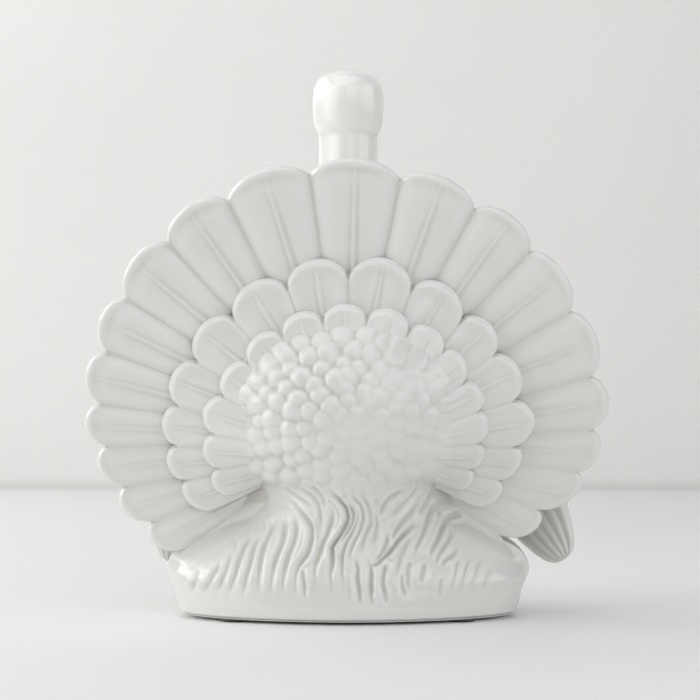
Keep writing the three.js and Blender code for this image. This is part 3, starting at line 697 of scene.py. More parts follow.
def mark_pools(piece):
    """Stores how deep each point lies in a hollow, from 0 on an edge to 1 where glaze pools."""
    mesh = piece.data
    count = len(mesh.vertices)
    points = np.empty(count * 3, np.float32)
    mesh.vertices.foreach_get("co", points)
    points = points.reshape(-1, 3).astype(float)
    normals = np.empty(count * 3, np.float32)
    mesh.vertex_normals.foreach_get("vector", normals)
    edges = np.empty(len(mesh.edges) * 2, np.int32)
    mesh.edges.foreach_get("vertices", edges)
    start, end = edges.reshape(-1, 2).T
    degree = np.maximum(np.bincount(edges, minlength=count), 1)
    smoothed = points
    for _ in range(POOL_ROUNDS):
        total = [np.bincount(start, smoothed[end, axis], count) + np.bincount(end, smoothed[start, axis], count)
                 for axis in range(3)]
        smoothed = (smoothed + np.stack(total, 1) / degree[:, None]) / 2
    depth = np.einsum("ij,ij->i", smoothed - points, normals.reshape(-1, 3)) / POOL_DEPTH
    store(mesh, "pool", np.clip(0.5 + depth, 0, 1))


def finish_piece(piece, *nodes, slot="glaze", material=None):
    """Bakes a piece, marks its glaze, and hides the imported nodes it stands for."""
    bake(piece)
    mesh = piece.data
    mark_pools(piece)
    for name in [layer.name for layer in mesh.attributes if layer.name in WORK_VALUES]:
        mesh.attributes.remove(mesh.attributes[name])
    mesh.materials.clear()
    mesh.materials.append(material or glaze)
    mesh.polygons.foreach_set("use_smooth", np.ones(len(mesh.polygons), bool))
    mesh.update()
    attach(piece, "root")
    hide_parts(*nodes)
    return piece


# The body: rump, plumes and foot

RUMP_CENTRE = np.array([-2, 0, 104]) * MM

# Half width, half height and feather size of each ring of scale feathers
SCALE_RINGS = [
    (0, 0, 4.7), (7.5, 5.5, 4.7), (15.5, 11, 4.9), (23.5, 17, 5.1), (31.5, 23, 5.3), (39.5, 29, 5.6),
    (48, 35.5, 6), (57, 42.5, 6.6),
]
SCALE_STEP = 9.2 * MM
# How much bigger the feathers are at the foot and the top of a ring, and how far each strays from its
# turn, its place and its size
SCALE_GROWTH = (0.95, 1.15)
TURN_STRAY = 0.22
PLACE_STRAY = 1.5 * MM
SIZE_STRAY = (0.82, 1.2)
# The field of scale feathers: half its width and height, and where it fades out at its foot
SCALY_REACH = (68 * MM, 54 * MM)
SCALY_FOOT = (69 * MM, 78 * MM)
SCALY_RIM = (1.06, 0.96)
SCALE_HEIGHT = 0.42
# How bold the feathers are from the right, where glaze is thick, to the left, and from the field's middle
# outwards: the two strengths, and the places between which one turns into the other
BOLD_LEFT = (0.4, 1.15)
BOLD_LEFT_FROM = (-16 * MM, 22 * MM)
BOLD_OUT = (0.5, 1)
BOLD_OUT_FROM = (0.1, 0.45)

# Where the plumes start and where they have run out
PLUMED_TOP = (80 * MM, 72 * MM)
PLUMED_FOOT = (7 * MM, 14 * MM)
# Turns from the rear over which the relief fades out
FACING = (math.radians(108), math.radians(88))
# How deep a groove of depth 1 is, and how wide
GROOVE_DEPTH = 3.1 * MM
GROOVE_REACH = 1.4 * MM
# Grooves that end below a height run out lower over the foot, all in millimetres
LOW_GROOVE = 21
RUN_OUT = 4
# Grooves between the plumes, as x and z in millimetres, and the depth of each
PLUME_GROOVES = [
    (0.6, [(78, 27), (80, 22), (83, 17)]),
    (0.8, [(66, 33), (69, 27), (72, 22), (77, 17)]),
    (0.6, [(61, 37), (63, 30), (65, 23), (69, 17)]),
    (1.0, [(50, 46), (54, 40), (57, 32), (59, 25), (62, 17)]),
    (0.9, [(45, 47), (49, 40), (51, 31), (53, 24), (54, 17)]),
    (1.0, [(37, 55), (40, 49), (43, 42), (45, 35), (46, 27), (46, 18)]),
    (1.0, [(34, 57), (33, 50), (34, 43), (37, 35), (39, 27), (40, 17)]),
    (1.0, [(30, 57), (27, 50), (28, 43), (31, 35), (33, 27), (34, 18)]),
    (1.1, [(33, 66), (27, 60), (22, 55), (19, 50), (19, 44), (21, 37), (25, 31), (27, 25), (27, 16)]),
    (0.9, [(24, 30), (23, 24), (22, 17)]),
    (0.5, [(35, 72), (29, 67), (23, 63), (18, 59)]),
    (0.6, [(29, 73), (23, 69), (17, 65), (15, 60), (14, 54), (15, 47)]),
    (0.6, [(21, 73), (16, 69), (13, 65), (12, 59)]),
    (0.9, [(9, 62), (8, 56), (10, 49), (13, 42), (15, 36), (17, 30), (17, 20)]),
    (1.8, [(12, 74), (8, 68), (4, 64), (1, 60), (0, 55), (2, 50), (5, 45), (8, 40), (8, 33), (9, 26), (8, 17)]),
    (1.2, [(2, 64), (-2, 60), (-3, 55), (-1, 50), (3, 45), (7, 40)]),
    (1.0, [(-5, 61), (-5, 55), (-3, 49), (1, 42), (3, 35), (3, 28), (3, 20)]),
    (0.8, [(-3, 74), (-3, 66), (-7, 61), (-8, 55), (-6, 48), (-3, 42), (-1, 36), (-1, 30)]),
    (0.6, [(-9, 73), (-8, 66), (-11, 60), (-12, 53), (-9, 46), (-7, 40), (-6, 34)]),
    (1.0, [(-3, 36), (-5, 30), (-5, 24), (-6, 17), (-6, 12)]),
    (1.0, [(-10, 35), (-12, 29), (-12, 23), (-12, 17), (-12, 11)]),
    (0.9, [(-19, 34), (-19, 28), (-18, 22), (-19, 17), (-20, 12)]),
    (1.8, [(-37, 53), (-31, 48), (-26, 43), (-21, 37), (-15, 32), (-8, 30)]),
    (1.0, [(-21, 48), (-20, 42), (-17, 36), (-13, 32)]),
    (0.5, [(-14, 60), (-15, 53), (-14, 46), (-12, 39)]),
    (0.9, [(-39, 63), (-35, 59), (-31, 55), (-27, 51), (-24, 46), (-23, 41)]),
    (1.1, [(-31, 69), (-25, 67), (-21, 64), (-18, 60), (-16, 54)]),
    (0.5, [(-38, 72), (-36, 69), (-33, 65), (-28, 61), (-24, 57), (-21, 53)]),
    (0.4, [(-46, 68), (-43, 64), (-39, 59), (-36, 55)]),
    (0.9, [(-49, 59), (-45, 59), (-43, 56), (-41, 51), (-39, 46), (-36, 40), (-34, 35)]),
    (0.6, [(-35, 46), (-31, 42), (-28, 36), (-26, 30), (-24, 22)]),
    (1.1, [(-62, 54), (-57, 55), (-53, 53), (-50, 49), (-47, 43), (-44, 38), (-42, 33)]),
    (0.7, [(-55, 48), (-53, 43), (-50, 39), (-47, 34), (-45, 30)]),
    (0.9, [(-57, 39), (-55, 35), (-51, 33), (-49, 29)]),
    (0.8, [(-40, 33), (-39, 27), (-37, 21)]),
    (0.7, [(-33, 33), (-31, 28), (-31, 19)]),
    (0.8, [(-28, 27), (-28, 22), (-30, 17)]),
    (0.35, [(-58, 34), (-56, 27), (-53, 19)]),
    (0.35, [(-64, 34), (-61, 27), (-58, 19)]),
    (0.3, [(-70, 33), (-67, 27), (-63, 19)]),
    (0.25, [(-76, 29), (-73, 24), (-70, 19)]),
    (0.3, [(-50, 25), (-48, 20), (-48, 16)]),
]


def rump_scales():
    """Rings of guide points round the middle of the rump, leaning outwards, in two sets."""
    chance = np.random.default_rng(4)
    sets = ([], [])
    for ring, (wide, high, size) in enumerate(SCALE_RINGS):
        count = max(round(TURN * math.hypot(wide, high) / math.sqrt(2) * MM / SCALE_STEP), 1)
        for step in range(count):
            turn = TURN * (step + 0.5 * (ring % 2) + chance.uniform(-TURN_STRAY, TURN_STRAY)) / count
            stray = chance.uniform(-PLACE_STRAY, PLACE_STRAY, 2)
            place = RUMP_CENTRE + [wide * MM * math.sin(turn) + stray[0], 0, high * MM * math.cos(turn) + stray[1]]
            lean = unit(np.array([math.sin(turn) * max(high, 1), 0, math.cos(turn) * max(wide, 1)]))
            bigger = mix(*SCALE_GROWTH, 0.5 + 0.5 * math.cos(turn))
            sets[ring % 2].append((place, lean, size * MM * bigger * chance.uniform(*SIZE_STRAY)))
    return [guide_points(name + " scale rings", [row[0] for row in rows],
                         values={"size": [row[2] for row in rows]}, vectors={"lean": [row[1] for row in rows]})
            for name, rows in zip(("even", "odd"), sets)]


def plume_guides():
    share = np.linspace(0, 1, 120)
    lines = []
    for depth, knots in PLUME_GROOVES:
        (x, z), lower = knots[-1], RUN_OUT if knots[-1][1] < LOW_GROOVE else 0
        knots = [*knots[:-1], (x, z - lower)]
        lines.append((depth, path_points([(x * MM, 0, z * MM) for x, z in knots], share)))
    taper = smoothstep(0, 0.3, share) * smoothstep(0, 0.3, 1 - share)
    return guide_points("plume guides", np.concatenate([line for _, line in lines]),
                        values={"depth": np.concatenate([depth * taper for depth, _ in lines])})


# The fan's face above the tail plane, and the reach of the valley beside it
FAN_FACE = 5.5 * MM
VALLEY = 10 * MM
# How far from the fan's face the skirt is drawn in and the valley filled, and at which heights the valley
# runs out at its top and its foot
DRAWN_IN = (-8 * MM, 1 * MM)
FILLED = (-20 * MM, -8 * MM)
VALLEY_TOP = (80 * MM, 66 * MM)
VALLEY_FOOT = (22 * MM, 32 * MM)
# Up the skirt: the height, and how wide it is where it meets the fan, in millimetres
SKIRT_EDGE = [(17, 97), (26, 94), (32, 88), (41, 76), (48, 64), (58, 53), (66, 48), (73, 54), (82, 72)]
# Its corners are rounded off over these millimetres
SKIRT_ROUNDING = (-7, -4.7, -2.3, 0, 2.3, 4.7, 7)
# How low the body's glaze reaches over the plinth, how thick it lies there, how thick the skirt is
# under it, and between which heights the plinth's outline turns into the body's
FOOT_HEM = 2.4 * MM
FOOT_SKIN = 0.3 * MM
FOOT_WALL = 3 * MM
FOOT_BLEND = (5 * MM, 30 * MM)
FOOT_ROWS = 16
# The skirt's swell at its sides: how high up, over what height, and how much wider. It fades in between
# these cosines of the turn from the rear
SWELL = (21 * MM, 11 * MM, 0.016)
SWELL_FROM = (-0.35, -0.05)

# Up the plinth's outside: the height and the outline's size there
PLINTH_SHARES = [[0, 0.967], [0.12, 0.983], [0.4, 0.998], [0.7, 1], [0.92, 0.996], [1, 0.985]]
PLINTH_BOTTOM = 1.7 * MM
PLINTH_TOP = 16.7 * MM
PLINTH_WIDEST = 12 * MM
PLINTH_FOOT_WIDTH = 17 * MM
PLINTH_REACH = {"side": 90.65 * MM, "front": 66.5 * MM, "rear": 54.5 * MM}


def plinth_ring(turns, height, inset):
    """A ring round the plinth at a height, set in from its outline."""
    share = np.clip((height - PLINTH_BOTTOM) / (PLINTH_TOP - PLINTH_BOTTOM), 0, 1)
    size = np.interp(share, *np.array(PLINTH_SHARES).T)
    reach = {way: length * size - inset for way, length in PLINTH_REACH.items()}
    x, y = plan_point(turns, **reach, front_exponent=FULL_EXPONENT,
                      rear_exponent=FULL_EXPONENT * BODY_SHARES[0][5])
    return np.stack([x, tail_plane_y(BODY_BOTTOM) + y, np.full_like(x, height)], -1)


# Turns from the rear at which the body's columns change pace, and how many columns each stretch has
COLUMN_STRETCHES = [(-112, -58, 48), (-58, 52, 236), (52, 112, 52)]
FRONT_COLUMNS = (112, 248, 30)
# The same for shares of the way up
ROW_STRETCHES = [(0, 0.09, 28), (0.09, 0.5, 104), (0.5, 0.84, 84), (0.84, 1, 12)]
INSIDE_ROWS = 24


def stretches(rows):
    pieces = [np.linspace(low, high, count, endpoint=False) for low, high, count in rows]
    return np.concatenate([*pieces, [rows[-1][1]]])


def fan_face_y(points):
    """Where the back of the tail fan lies along Y, at a point's height."""
    return tail_plane_y(points[..., 2]) + FAN_FACE


def drawn_in(points):
    """Draws the skirt in behind the fan, to the line where it meets the fan's face."""
    half_widths = np.abs(points[..., 0]).max(axis=1, keepdims=True)
    edge = np.mean([np.interp(points[..., 2] / MM + shift, *np.array(SKIRT_EDGE).T)
                    for shift in SKIRT_ROUNDING], axis=0) * MM
    behind = smoothstep(*DRAWN_IN, points[..., 1] - fan_face_y(points))
    points = points.copy()
    points[..., 0] *= mix(1, np.minimum(1, edge / np.maximum(half_widths, MM)), behind)
    return points, behind


def drawn_to_valley(points):
    """Draws the skirt in, and lets it run into the fan's face over a soft valley."""
    depth = points[..., 1] - fan_face_y(points)
    height = points[..., 2]
    filled = np.maximum(depth, 0) + VALLEY * np.log1p(np.exp(-np.abs(depth) / VALLEY))
    near = smoothstep(*FILLED, depth)
    low = smoothstep(*VALLEY_TOP, height) * smoothstep(*VALLEY_FOOT, height)
    points, behind = drawn_in(points)
    points[..., 1] += near * low * (mix(-1 * MM, filled, behind) - depth)
    return points


def with_foot(turns, rows):
    """Carries the body's glaze from its foot down over the plinth, in one soft curve."""
    heights = np.linspace(FOOT_HEM, BODY_BOTTOM, FOOT_ROWS)[:-1]
    under = np.repeat(rows[:1], len(heights), axis=0)
    under[..., 2] = heights[:, None]
    rows = np.concatenate([under, rows])
    for row in rows:
        height = row[0, 2]
        if height < FOOT_BLEND[1]:
            band = plinth_ring(turns, min(height, PLINTH_WIDEST), -FOOT_SKIN)
            row[:, :2] = mix(band, row, smoothstep(*FOOT_BLEND, height))[:, :2]
        at, reach, wider = SWELL
        row[:, 0] *= 1 + wider * math.exp(-((height - at) / reach) ** 2) * smoothstep(*SWELL_FROM, np.cos(turns))
    return rows


def body_relief(points, facing):
    """How much of the scale feathers and plumes each point takes: less at the right, where glaze is thick."""
    side, height = points[..., 0], points[..., 2]
    across, up = side - RUMP_CENTRE[0], height - RUMP_CENTRE[2]
    ring = np.hypot(across / SCALY_REACH[0], up / SCALY_REACH[1])
    bold = mix(*BOLD_LEFT, smoothstep(*BOLD_LEFT_FROM, side + 0.6 * up))
    bold *= mix(*BOLD_OUT, smoothstep(*BOLD_OUT_FROM, ring))
    return {
        "scaly": facing * bold * smoothstep(*SCALY_FOOT, height) * smoothstep(*SCALY_RIM, ring),
        "plumed": facing * smoothstep(*PLUMED_TOP, height) * smoothstep(*PLUMED_FOOT, height),
    }


def body():
    rear = np.radians(stretches(COLUMN_STRETCHES))
    front = np.radians(np.linspace(*FRONT_COLUMNS))[1:-1]
    turns = np.concatenate([rear, front])
    shares = stretches(ROW_STRETCHES)
    outside = body_point(shares[:, None], turns[None])
    outside = with_foot(turns, drawn_to_valley(outside))
    inside, _ = drawn_in(body_point(np.linspace(1, 0, INSIDE_ROWS)[:, None], turns[None], -WALL))
    under = [plinth_ring(turns, height, FOOT_WALL) for height in (BODY_BOTTOM, FOOT_HEM)]
    inside = np.concatenate([inside, under])
    for grid, end in ((outside, -1), (inside, 0)):
        grid[end] = grid[end].mean(axis=0)
    points = np.concatenate([outside, inside, outside[:1]])
    facing = smoothstep(*FACING, np.abs(np.where(turns > math.pi, turns - TURN, turns)))
    hidden = np.zeros((len(inside) + 1, len(turns)))
    facing = np.concatenate([np.broadcast_to(facing, outside.shape[:2]), hidden])
    piece = new_piece("body", points, grid_faces(*points.shape[:2], closed=True), body_relief(points, facing))
    (even, odd), lines = rump_scales(), plume_guides()
    scale_feathers.put_on(piece, glaze, height=SCALE_HEIGHT, even_rings=even, odd_rings=odd)
    plume_grooves.put_on(piece, glaze, depth=GROOVE_DEPTH, reach=GROOVE_REACH, guides=lines)
    soften(piece, 3)
    finish_piece(piece, "body_shell")
    for guide in (even, odd, lines):
        bpy.data.meshes.remove(guide.data)


# The breast feathers, a shell that lies on the front of the body

# From side to side in degrees and from foot to top in shares, each with its number of points
BREAST_TURNS = (98, 262, 260)
BREAST_SHARES = (0.04, 0.95, 150)
# How far in from its foot, its top and its sides the relief starts, and how far its edge and face lie out
BREAST_FADE = {"foot": 0.05, "top": 0.03, "side": math.radians(7)}
BREAST_LIFT = (-0.4 * MM, 0.3 * MM)
BREAST_THICKNESS = 2 * MM
# How wide a radian of the breast is, for its feathers
BREAST_RADIUS = 90 * MM
BREAST_FEATHERS = in_millimetres(height=2.1, length=9.5, width=16, tip=6)


def breast():
    turn = np.radians(np.linspace(*BREAST_TURNS))
    share = np.linspace(*BREAST_SHARES)
    foot, top = (share - share[0]) / BREAST_FADE["foot"], (share[-1] - share) / BREAST_FADE["top"]
    sides = np.minimum(turn - turn[0], turn[-1] - turn) / BREAST_FADE["side"]
    relief = smoothstep(0, 1, np.minimum.outer(np.minimum(foot, top), sides))
    outside = body_point(share[:, None], turn[None])
    normal = unit(np.cross(np.gradient(outside, axis=1), np.gradient(outside, axis=0)))
    middle = outside.mean(axis=(0, 1))
    normal *= np.sign(np.sum(normal * (outside - middle), axis=-1, keepdims=True))
    outside = outside + normal * mix(*BREAST_LIFT, relief)[..., None]
    along = BODY_BOTTOM + BODY_HEIGHT - outside[..., 2]
    across = np.broadcast_to(turn * BREAST_RADIUS, relief.shape)
    piece = plate("breast_feathers", outside, outside - normal * BREAST_THICKNESS, {
        name: (front, 0 * front) for name, front in (("along", along), ("across", across), ("relief", relief))})
    shingled_feathers.put_on(piece, glaze, **BREAST_FEATHERS)
    soften(piece, 2)
    return finish_piece(piece, "body_shell")


# The tail: the fan and the rows of coverts on it

def outline_share(knots, angle):
    return np.interp(np.degrees(angle), *np.array(knots).T)


# The reach of the rump from the tail's centre, at its sides and its top
RUMP_SIDE = 0.72 * BODY_HALF_WIDTH
RUMP_TOP = 0.87 * RUMP_RISE

# A row's slope up to the rump, and how thin it gets towards its two low ends
ROW_SLOPE = 0.2
LOW_ROW_SHARE = 0.3
LOW_ROW_ANGLES = (math.radians(80), math.radians(116))

# The share of the relief that is left at the bird's right, and in the low feathers of the fan
RIGHT_RELIEF = 0.68
RIGHT_ANGLES = (math.radians(15), math.radians(55))
LOW_FAN_RELIEF = 0.6
LOW_FAN_ANGLES = (math.radians(65), math.radians(100))


def rump_reach(angle):
    """How far the round of the rump reaches from the tail's centre."""
    return np.hypot(RUMP_SIDE * np.sin(angle), RUMP_TOP * np.cos(angle))


def scallop(side, fullness):
    """How far a round tip falls back, from 0 at its middle to 1 at its edges."""
    return (1 - np.sqrt(1 - fullness * side ** 2)) / (1 - math.sqrt(1 - fullness))


def stack_share(angle):
    return mix(1, LOW_ROW_SHARE, smoothstep(*LOW_ROW_ANGLES, np.abs(angle)))


def row_face(row, radius, angle):
    rise = COVERT_STEP + ROW_SLOPE * np.maximum(0, rump_reach(angle) + row["showing"] - radius)
    return row_base(row, radius, angle) + rise * stack_share(angle)


def row_base(row, radius, angle):
    if row.get("lies_on"):
        return row_face(row["lies_on"], radius, angle) + FEATHER_CROWN
    return TAIL_THICKNESS / 2 + FEATHER_CROWN


# A row's notches are shares of its feathers' width
MAJOR_ROW = {"showing": 29.75 * MM, "notches": MAJOR_NOTCHES, "outline": MAJOR_OUTLINE, "notch": 0.25}
MINOR_ROW = {"showing": 6.25 * MM, "notches": MINOR_NOTCHES, "outline": MINOR_OUTLINE, "notch": 0.24,
             "lies_on": MAJOR_ROW}
FRONT_ROW = {"showing": 34.25 * MM, "notches": FRONT_NOTCHES, "outline": MAJOR_OUTLINE, "notch": 0.3}


# Where the columns of points lie across half a feather, close together at the quill and at the edge
HALF_FEATHER = [0.018, 0.036, 0.056, 0.08, 0.11, 0.16, 0.24, 0.34, 0.45, 0.56, 0.67, 0.77, 0.85, 0.91, 0.95,
                0.98, 1]
ACROSS_FEATHER = np.array([*(-part for part in reversed(HALF_FEATHER)), 0, *HALF_FEATHER])


def feather_columns(notches):
    """Angles across a row of feathers, with each one's side and half width in radians."""
    angles, sides, halves = [], [], []
    for first, last in zip(notches, notches[1:]):
        side = ACROSS_FEATHER[1 if angles else 0:]
        angles.append(np.radians(mix(first, last, (side + 1) / 2)))
        sides.append(side)
        halves.append(np.full(len(side), math.radians(abs(first - last)) / 2))
    return np.concatenate(angles), np.concatenate(sides), np.concatenate(halves)


def feather_stations(inner, shown, tip, edge_round, spans):
    """Radii from the root to the tip, and the share of the thickness left by the rounded tip.

    Only four rows lie where other feathers cover the plate, and most lie near the rim.
    """
    hidden = mix(inner, shown, np.linspace(0, 1, 5)[:-1, None]) * np.ones_like(tip)
    share = 1 - (1 - np.linspace(0, 1, spans)[:, None]) ** 1.5
    flat = mix(shown, tip - edge_round, share)
    bend = np.linspace(0, math.pi / 2, 9)[1:, None]
    rounded = tip - edge_round * (1 - np.sin(bend))
    left = np.concatenate([np.ones((len(hidden) + len(flat), 1)), np.cos(bend)])
    return np.concatenate([hidden, flat, rounded]), np.broadcast_to(left, (len(left), len(tip)))


def feather_plate(name, notches, spans, inner, shown, tip_of, edge_round, faces_of, sizes, nodes):
    """A row of feathers as one closed plate, with its relief on one or both faces."""
    angle, side, half = feather_columns(notches)
    tip = tip_of(angle, side, half)
    slope = np.gradient(tip, angle) / tip
    radius, left = feather_stations(inner, shown, tip, edge_round, spans)
    grids, values = [], {"side": [], "half_width": [], "from_rim": [], "relief": []}
    for height, relief in faces_of(radius, angle, left):
        grids.append(on_tail(np.broadcast_to(angle, radius.shape), radius, height))
        values["side"].append(np.broadcast_to(side, radius.shape))
        values["half_width"].append(half * radius)
        values["from_rim"].append((tip - radius) / np.hypot(1, slope))
        values["relief"].append(relief * left)
    piece = plate(name, *grids, values)
    feather_relief.put_on(piece, glaze, **sizes)
    return finish_piece(piece, *nodes)


# How full the round tips are, how many rows of points the shown part has, where it starts, and how
# round its edge is
TAIL_FULLNESS = 0.88
TAIL_SPANS = 40
TAIL_SHOWN = 78 * MM
TAIL_EDGE_ROUND = 3 * MM
COVERT_FULLNESS = 0.8
COVERT_SPANS = 26
COVERT_SHOWN = 54 * MM
COVERT_EDGE_ROUND = 3.4 * MM
# How deep a row of coverts sits in what it lies on
COVERT_BED = 1.2 * MM

TAIL_SIZES = {"groove_rest": 0.4, **in_millimetres(
    crown=1.3, groove_depth=1.5, groove_width=3.2, groove_run=60, quill_height=0.6, quill_width=1.1,
    quill_clear=4, quill_length=60, rim_height=0.4, rim_width=2.2, dish_depth=0.6, streak_depth=0.12,
    waviness=1.1)}
COVERT_SIZES = {"groove_rest": 0.2, **in_millimetres(
    crown=0.8, groove_depth=1.1, groove_width=1.5, groove_run=5, quill_height=0.4, quill_width=0.8,
    quill_clear=5, quill_length=14, rim_height=0.2, rim_width=3, dish_depth=0.3, streak_depth=0.1,
    waviness=1)}


def runs_out(angle):
    """How much of the relief is left under the glaze, which lies thicker at the bird's right."""
    return mix(1, RIGHT_RELIEF, smoothstep(*RIGHT_ANGLES, -angle))


def tail_fan():
    def tip_of(angle, side, half):
        return TAIL_RADIUS * outline_share(TAIL_OUTLINE, angle) - TAIL_NOTCH_DEPTH * scallop(side, TAIL_FULLNESS)

    def faces_of(radius, angle, left):
        half = TAIL_THICKNESS / 2
        low = mix(1, LOW_FAN_RELIEF, smoothstep(*LOW_FAN_ANGLES, np.abs(angle)))
        bold = np.broadcast_to(low * runs_out(angle), radius.shape)
        return [(-half * left, bold), (half * left, bold)]

    return feather_plate("tail_feathers", TAIL_NOTCHES, TAIL_SPANS, TAIL_INNER_RADIUS, TAIL_SHOWN, tip_of,
                         TAIL_EDGE_ROUND, faces_of, TAIL_SIZES, ["tail_fan"])


def covert_row(name, row, way, node):
    def tip_of(angle, side, half):
        reach = (rump_reach(angle) + row["showing"]) * outline_share(row["outline"], angle)
        return reach * (1 - row["notch"] * 2 * half * scallop(side, COVERT_FULLNESS))

    def faces_of(radius, angle, left):
        under = row_base(row, radius, angle) - COVERT_BED
        thick = row_face(row, radius, angle) - under
        bold = np.broadcast_to(runs_out(angle), radius.shape)
        return [(way * under, np.zeros_like(radius)), (way * (under + thick * left), bold)]

    return feather_plate(name, row["notches"], COVERT_SPANS, COVERT_INNER_RADIUS, COVERT_SHOWN, tip_of,
                         COVERT_EDGE_ROUND, faces_of, COVERT_SIZES, [node])


# The neck and head

# Up the neck: the half width and the reach to the front and the rear, in neck radii
NECK_SHARES = [
    [2.05, 2.05, 2], [1.8, 1.86, 1.5], [1.48, 1.58, 1.15], [1.22, 1.35, 1.02],
    [1.07, 1.18, 1], [1, 1.08, 1], [0.98, 1.02, 1], [0.98, 1.02, 1],
]
# Up the skull: the height, half width and reach to the front and the rear, in its own sizes
SKULL_SHARES = [
    [-0.1, 0.8, 0.84, 0.8], [0, 0.87, 0.92, 0.86], [0.1, 0.95, 1.06, 0.9], [0.24, 0.985, 1.3, 0.92],
    [0.42, 1, 1.5, 0.95], [0.6, 0.985, 1.42, 0.96], [0.76, 0.93, 1.16, 0.9], [0.88, 0.77, 0.8, 0.74],
    [0.955, 0.46, 0.46, 0.46], [1, 0, 0, 0],
]
HEAD_SEGMENTS = 96
HEAD_VOXEL = 0.8 * MM

# Forms on the face: where each lies in the face's own shares, and its sizes
MUZZLE = (0, 0.62, 0.5)
MUZZLE_SIZES = (12.9 * MM, 16 * MM, 12.2 * MM)
MUZZLE_TILT = 0.22
CHEEK = (0.55, 0.34, 0.3)
CHEEK_SIZES = (7.8 * MM, 12.2 * MM, 8.9 * MM)
EYE = (0.63, 0.5, 0.66)
EYE_SIZES = (4.4 * MM, 4.4 * MM, 4.1 * MM)
LID_REACH = 5.6 * MM
LID_RADIUS = 1.7 * MM
BEAK = (0, 0.86, 0.52)
BEAK_LENGTH = 24 * MM
BEAK_CURVE = [(0, 0, 0), (0, -0.4, 0.01), (0, -0.8, -0.1), (0, -1.16, -0.42)]
BEAK_RADIUS = 8.5 * MM
BEAK_SHARES = (1, 0.82, 0.55, 0.16)


def column_rings(heights, side, front, rear):
    turn = full_turn(HEAD_SEGMENTS)
    x, y = plan_point(turn[None], side[:, None], front[:, None], rear[:, None], 2, RIDGE_EXPONENT)
    return np.stack([x, y + NECK_Y, np.broadcast_to(heights[:, None], x.shape)], -1)


def neck_and_head():
    share = np.linspace(0, 1, 60)
    neck = NECK_RADIUS * smooth_rows(NECK_SHARES, share)
    skull_share = np.linspace(0, 1, 40)[:-1]
    height, side, front, rear = smooth_rows(SKULL_SHARES, skull_share).T
    parts = [
        column_rings(mix(NECK_BOTTOM, NECK_TOP + 3 * MM, share), *neck.T),
        column_rings(HEAD_SEAT + SKULL_HEIGHT * height, *(SKULL_HALF_WIDTH * np.stack([side, front, rear]))),
        ball(on_face(*MUZZLE), MUZZLE_SIZES, MUZZLE_TILT),
        limb([on_face(*BEAK) + BEAK_LENGTH * np.array(knot) for knot in BEAK_CURVE],
             [BEAK_RADIUS * part for part in BEAK_SHARES], 0.9),
    ]
    for way in (-1, 1):
        parts.append(ball(on_face(way * CHEEK[0], *CHEEK[1:]), CHEEK_SIZES))
        eye = on_face(way * EYE[0], *EYE[1:])
        parts.append(ball(eye, EYE_SIZES))
        lid = [eye + LID_REACH * np.array([0.1 * way, math.cos(turn), 0.85 * math.sin(turn)])
               for turn in np.linspace(-0.3, math.pi + 0.3, 7)]
        parts.append(limb(lid, [LID_RADIUS] * 4))
    piece = new_piece("neck_and_head", *joined([loft(part) for part in parts]))
    remesh = piece.modifiers.new("fuse", "REMESH")
    remesh.mode = "VOXEL"
    remesh.voxel_size = HEAD_VOXEL
    soften(piece, 10)
    return finish_piece(piece, "neck", "head", material=head_glaze_painted_brighter)


# Snood, wattle and beard

SKIN_SEGMENTS = 96
SKIN_STATIONS = 120


def small_limb(name, root, length, knots, radius, shares, width, node, folds=0, rings_of_skin=0, depth=0.0):
    """A limb with folds along it or rings of skin round it, as deep as a share of its radius."""
    rings = limb([root + length * np.array(knot) for knot in knots], [radius * part for part in shares], width,
                 SKIN_SEGMENTS, SKIN_STATIONS)
    middle = rings.mean(axis=1, keepdims=True)
    turn = full_turn(SKIN_SEGMENTS)[None, :, None]
    share = np.linspace(0, 1, SKIN_STATIONS)[:, None, None]
    wave = np.abs(np.cos(folds * turn / 2 + 3 * share if folds else rings_of_skin * math.pi * share))
    rings = middle + (rings - middle) * (1 - depth * smoothstep(0, 0.3, share) * (1 - wave))
    return finish_piece(new_piece(name, *loft(rings)), node, material=head_glaze_painted_brighter)


# The wings

# Along a wing: its half chord and thickness, and which way it faces to the side and forwards
WING_SHARES = [
    [0.8, 1.1, 0.55, 0.85], [1, 1.35, 0.8, 0.6], [1, 1.25, 0.88, 0.45], [0.8, 0.95, 0.7, 0.7],
    [0.54, 0.65, 0.4, 0.9],
]

# Rows of wing feathers, tips first: the tips' share of the way, how many feathers, and their shift aside
WING_ROWS = [(1.06, 6, 0), (0.72, 6, 0.5), (0.52, 6, 0), (0.38, 7, 0.5), (0.26, 7, 0), (0.16, 6, 0.5)]
WING_SIZES = {"groove_rest": 0.35, **in_millimetres(
    crown=0.9, groove_depth=1, groove_width=1.2, groove_run=24, quill_height=0.4, quill_width=0.8,
    quill_clear=3, quill_length=26, rim_height=0.25, rim_width=1.8, dish_depth=0.2, streak_depth=0.12,
    waviness=0.6)}
# A wing's way down the flank: the share of the body's height, the turn, and how far off its face. The tip
# lies as far off as the wing is spread
WING_ROOT = (0.8, 144, 0)
WING_MIDDLE = (0.608, 114, WALL / 2)
WING_TIP = (0.108, 96)
WING_HALF_CHORD = 33 * MM
WING_HALF_THICKNESS = 8 * MM
WING_SEGMENTS = 240
WING_STATIONS = 230
# How high a row of feathers stands on the next, and over what way that is lost
WING_STEP = 1.5 * MM
WING_STEP_RUN = 13 * MM
# How far a tip falls back at its edges, in half widths, and a row at the wing's edges
WING_TIP_ROUND = 1.1
WING_SWEEP = 6 * MM


